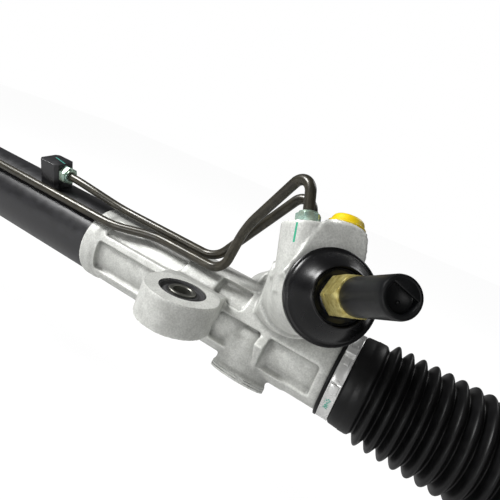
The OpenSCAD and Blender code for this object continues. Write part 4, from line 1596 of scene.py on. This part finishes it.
@dataclass
class EarBush:
    """Bonded rubber bush: outer ring, stepped rubber face and the steel sleeve in it."""

    play: float = 0.02
    sleeve_r: float = 7.4
    bore_r: float = 5.1
    sleeve_l: float = 17.4
    edge: float = 0.3
    lead_in: float = 0.35

    def rubber(self) -> list[Point]:
        """Gives the rubber's outline, with the groove and the step of its upper face.

        Returns:
            The outline.
        """
        half = self.sleeve_l / 2
        hole_r = self.sleeve_r + self.play
        wall_r = BUSH_R - self.play
        below = [(hole_r, -half + 1.4), (9.0, -half + 1.5), (12.9, -half + 0.6), (wall_r, -half + 1.2)]
        above = [(wall_r, half - 1.0), (12.8, half - 0.4), (12.2, half - 0.25), (11.7, half - 0.6),
                 (11.3, half - 1.6), (10.9, half - 1.9), (9.8, half - 1.9), (9.4, half - 1.5),
                 (8.8, half - 1.1), (8.1, half - 1.1), (hole_r, half - 1.4)]
        return below + above

    def sleeve(self) -> list[Point]:
        """Gives the sleeve's outline, with broken edges outside and a lead-in at both ends of its bore.

        Returns:
            The outline.
        """
        half = self.sleeve_l / 2
        return [(self.bore_r + self.lead_in, -half), (self.sleeve_r - self.edge, -half),
                (self.sleeve_r, -half + self.edge), (self.sleeve_r, half - self.edge),
                (self.sleeve_r - self.edge, half), (self.bore_r + self.lead_in, half),
                (self.bore_r, half - 0.4), (self.bore_r, -half + 0.4)]

    def build(self, wardrobe: Wardrobe) -> list[bpy.types.Object]:
        """Builds the bush of both ears.

        Args:
            wardrobe: Source of the finishes.

        Returns:
            The rubber and the sleeve of each ear.
        """
        pieces = []
        for end, x in ((End.NEAR, 0.0), (End.FAR, FAR_EAR_X)):
            start = end.value + "_bush_"
            frame = Matrix.Translation((x, 0, 0))
            rubber = sharpen(lathe(start + "bonded", self.rubber(), frame), 30)
            sleeve = sharpen(lathe(start + "tube", self.sleeve(), frame), 30)
            pieces += [
                dress(rubber, wardrobe.get("bush_rubber"), "bush_rubber", Body.HOUSING, start + "rubber"),
                dress(sleeve, wardrobe.get("turned_steel"), "turned_steel", Body.HOUSING, start + "sleeve"),
            ]
        return pieces


@dataclass
class PortPlugs:
    """Push-in shipping plugs in the two open ports."""

    stem_depth: float = 5.0
    yellow_stem_r: float = 5.88
    blue_stem_r: float = 4.08
    gap: float = 0.06

    def plug(self, port: Point, stem_r: float, head: list[Point], name: str) -> bpy.types.Object:
        """Turns a plug over a port.

        Args:
            port: Place of the port across and along the pinion's axis.
            stem_r: Radius of the stem in the port.
            head: Outline of the head from its rim to its top.
            name: Name of the object.

        Returns:
            The plug.
        """
        outline = [(0, -self.stem_depth), (stem_r, -self.stem_depth), (stem_r, self.gap)] + head
        return sharpen(lathe(name, outline, over_port(plug_frame(), port, PLUGGED_BOSS_H)), 40)

    def build(self, wardrobe: Wardrobe) -> list[bpy.types.Object]:
        """Builds the yellow and the blue plug.

        Args:
            wardrobe: Source of the finishes.

        Returns:
            The two plugs.
        """
        wide_head = [(9.4, self.gap), (9.6, 0.3), (9.6, 1.1), (9.3, 1.4), (8.8, 1.5), (8.5, 2.0), (8.1, 3.6),
                     (7.6, 4.5), (6.8, 5.1), (5.2, 5.4), (0, 5.5)]
        tall_head = [(5.2, self.gap), (5.4, 0.3), (5.4, 1.2), (4.6, 1.6), (4.2, 5.6), (3.7, 6.3), (0, 6.4)]
        yellow = self.plug(YELLOW_PORT, self.yellow_stem_r, wide_head, "yellow_dome")
        blue = self.plug(BLUE_PORT, self.blue_stem_r, tall_head, "blue_dome")
        return [
            dress(yellow, wardrobe.get("yellow_plastic"), "yellow_plastic", Body.HOUSING, "yellow_port_plug"),
            dress(blue, wardrobe.get("blue_plastic"), "blue_plastic", Body.HOUSING, "blue_port_plug"),
        ]


@dataclass
class BandClamp:
    """Stainless band round each boot's mouth with its folded lock and lap."""

    turn: float = 48.0
    inner_r: float = 25.47
    outer_r: float = 26.15
    bead_r: float = 26.32
    under_r: float = 26.1
    over_r: float = 26.6

    def band(self, end: End) -> bpy.types.Object:
        """Builds one band with its rolled edges, the lap's step, the lap and the lock.

        Args:
            end: End of the rack.

        Returns:
            The band.
        """
        outline = [(self.inner_r, 84.0), (26.2, 83.9), (self.bead_r, 84.2), (self.outer_r, 84.5),
                   (self.outer_r, 89.7), (self.bead_r, 90.0), (26.2, 90.3), (self.inner_r, 90.2)]
        ring = lathe("band", outline, along_rack(), 144)
        folds = [
            sector("lap", 84.2, 90.0, 11, self.turn + 8, self.under_r, 26.75),
            sector("step", 85.0, 89.4, -3, 9.5, self.under_r, 26.95),
            sector("lock", 84.3, 90.0, self.turn - 2, self.turn + 5, self.over_r, 30.4),
            sector("ear", 85.2, 89.2, self.turn + 7, self.turn + 13, self.over_r, 28.1),
            sector("stem", 86.0, 88.4, self.turn - 14, self.turn - 4, self.over_r, 27.3),
        ]
        for fold in folds:
            round_edges(fold, 0.25, 3, 40)
        whole = join([ring] + folds, end.value + "_band")
        if end is End.FAR:
            to_far_end(whole)
        return sharpen(whole, 35)

    def build(self, wardrobe: Wardrobe) -> list[bpy.types.Object]:
        """Builds the bands of both ends.

        Args:
            wardrobe: Source of the finishes.

        Returns:
            The two bands.
        """
        steel = wardrobe.get("stainless")
        return [dress(self.band(end), steel, "stainless", Body.HOUSING, end.value + "_clamp") for end in End]


def main() -> None:
    """Builds the picture piece by piece and reports each one."""
    logging.basicConfig(level=logging.INFO, format="%(message)s")
    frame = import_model()
    wardrobe = Wardrobe()
    Studio().build()
    wardrobe.dress_nodes(frame)
    for assembly in (Casting(), EarBush(), FluidLines(), PortPlugs(), Boot(), BandClamp(), ValveEnd()):
        for piece in assembly.build(wardrobe):
            LOG.info("%s: %d faces", piece.name, len(piece.data.polygons))
    LOG.info("dressed %d nodes", len(frame["nodes"]))


if __name__ == "__main__":
    main()
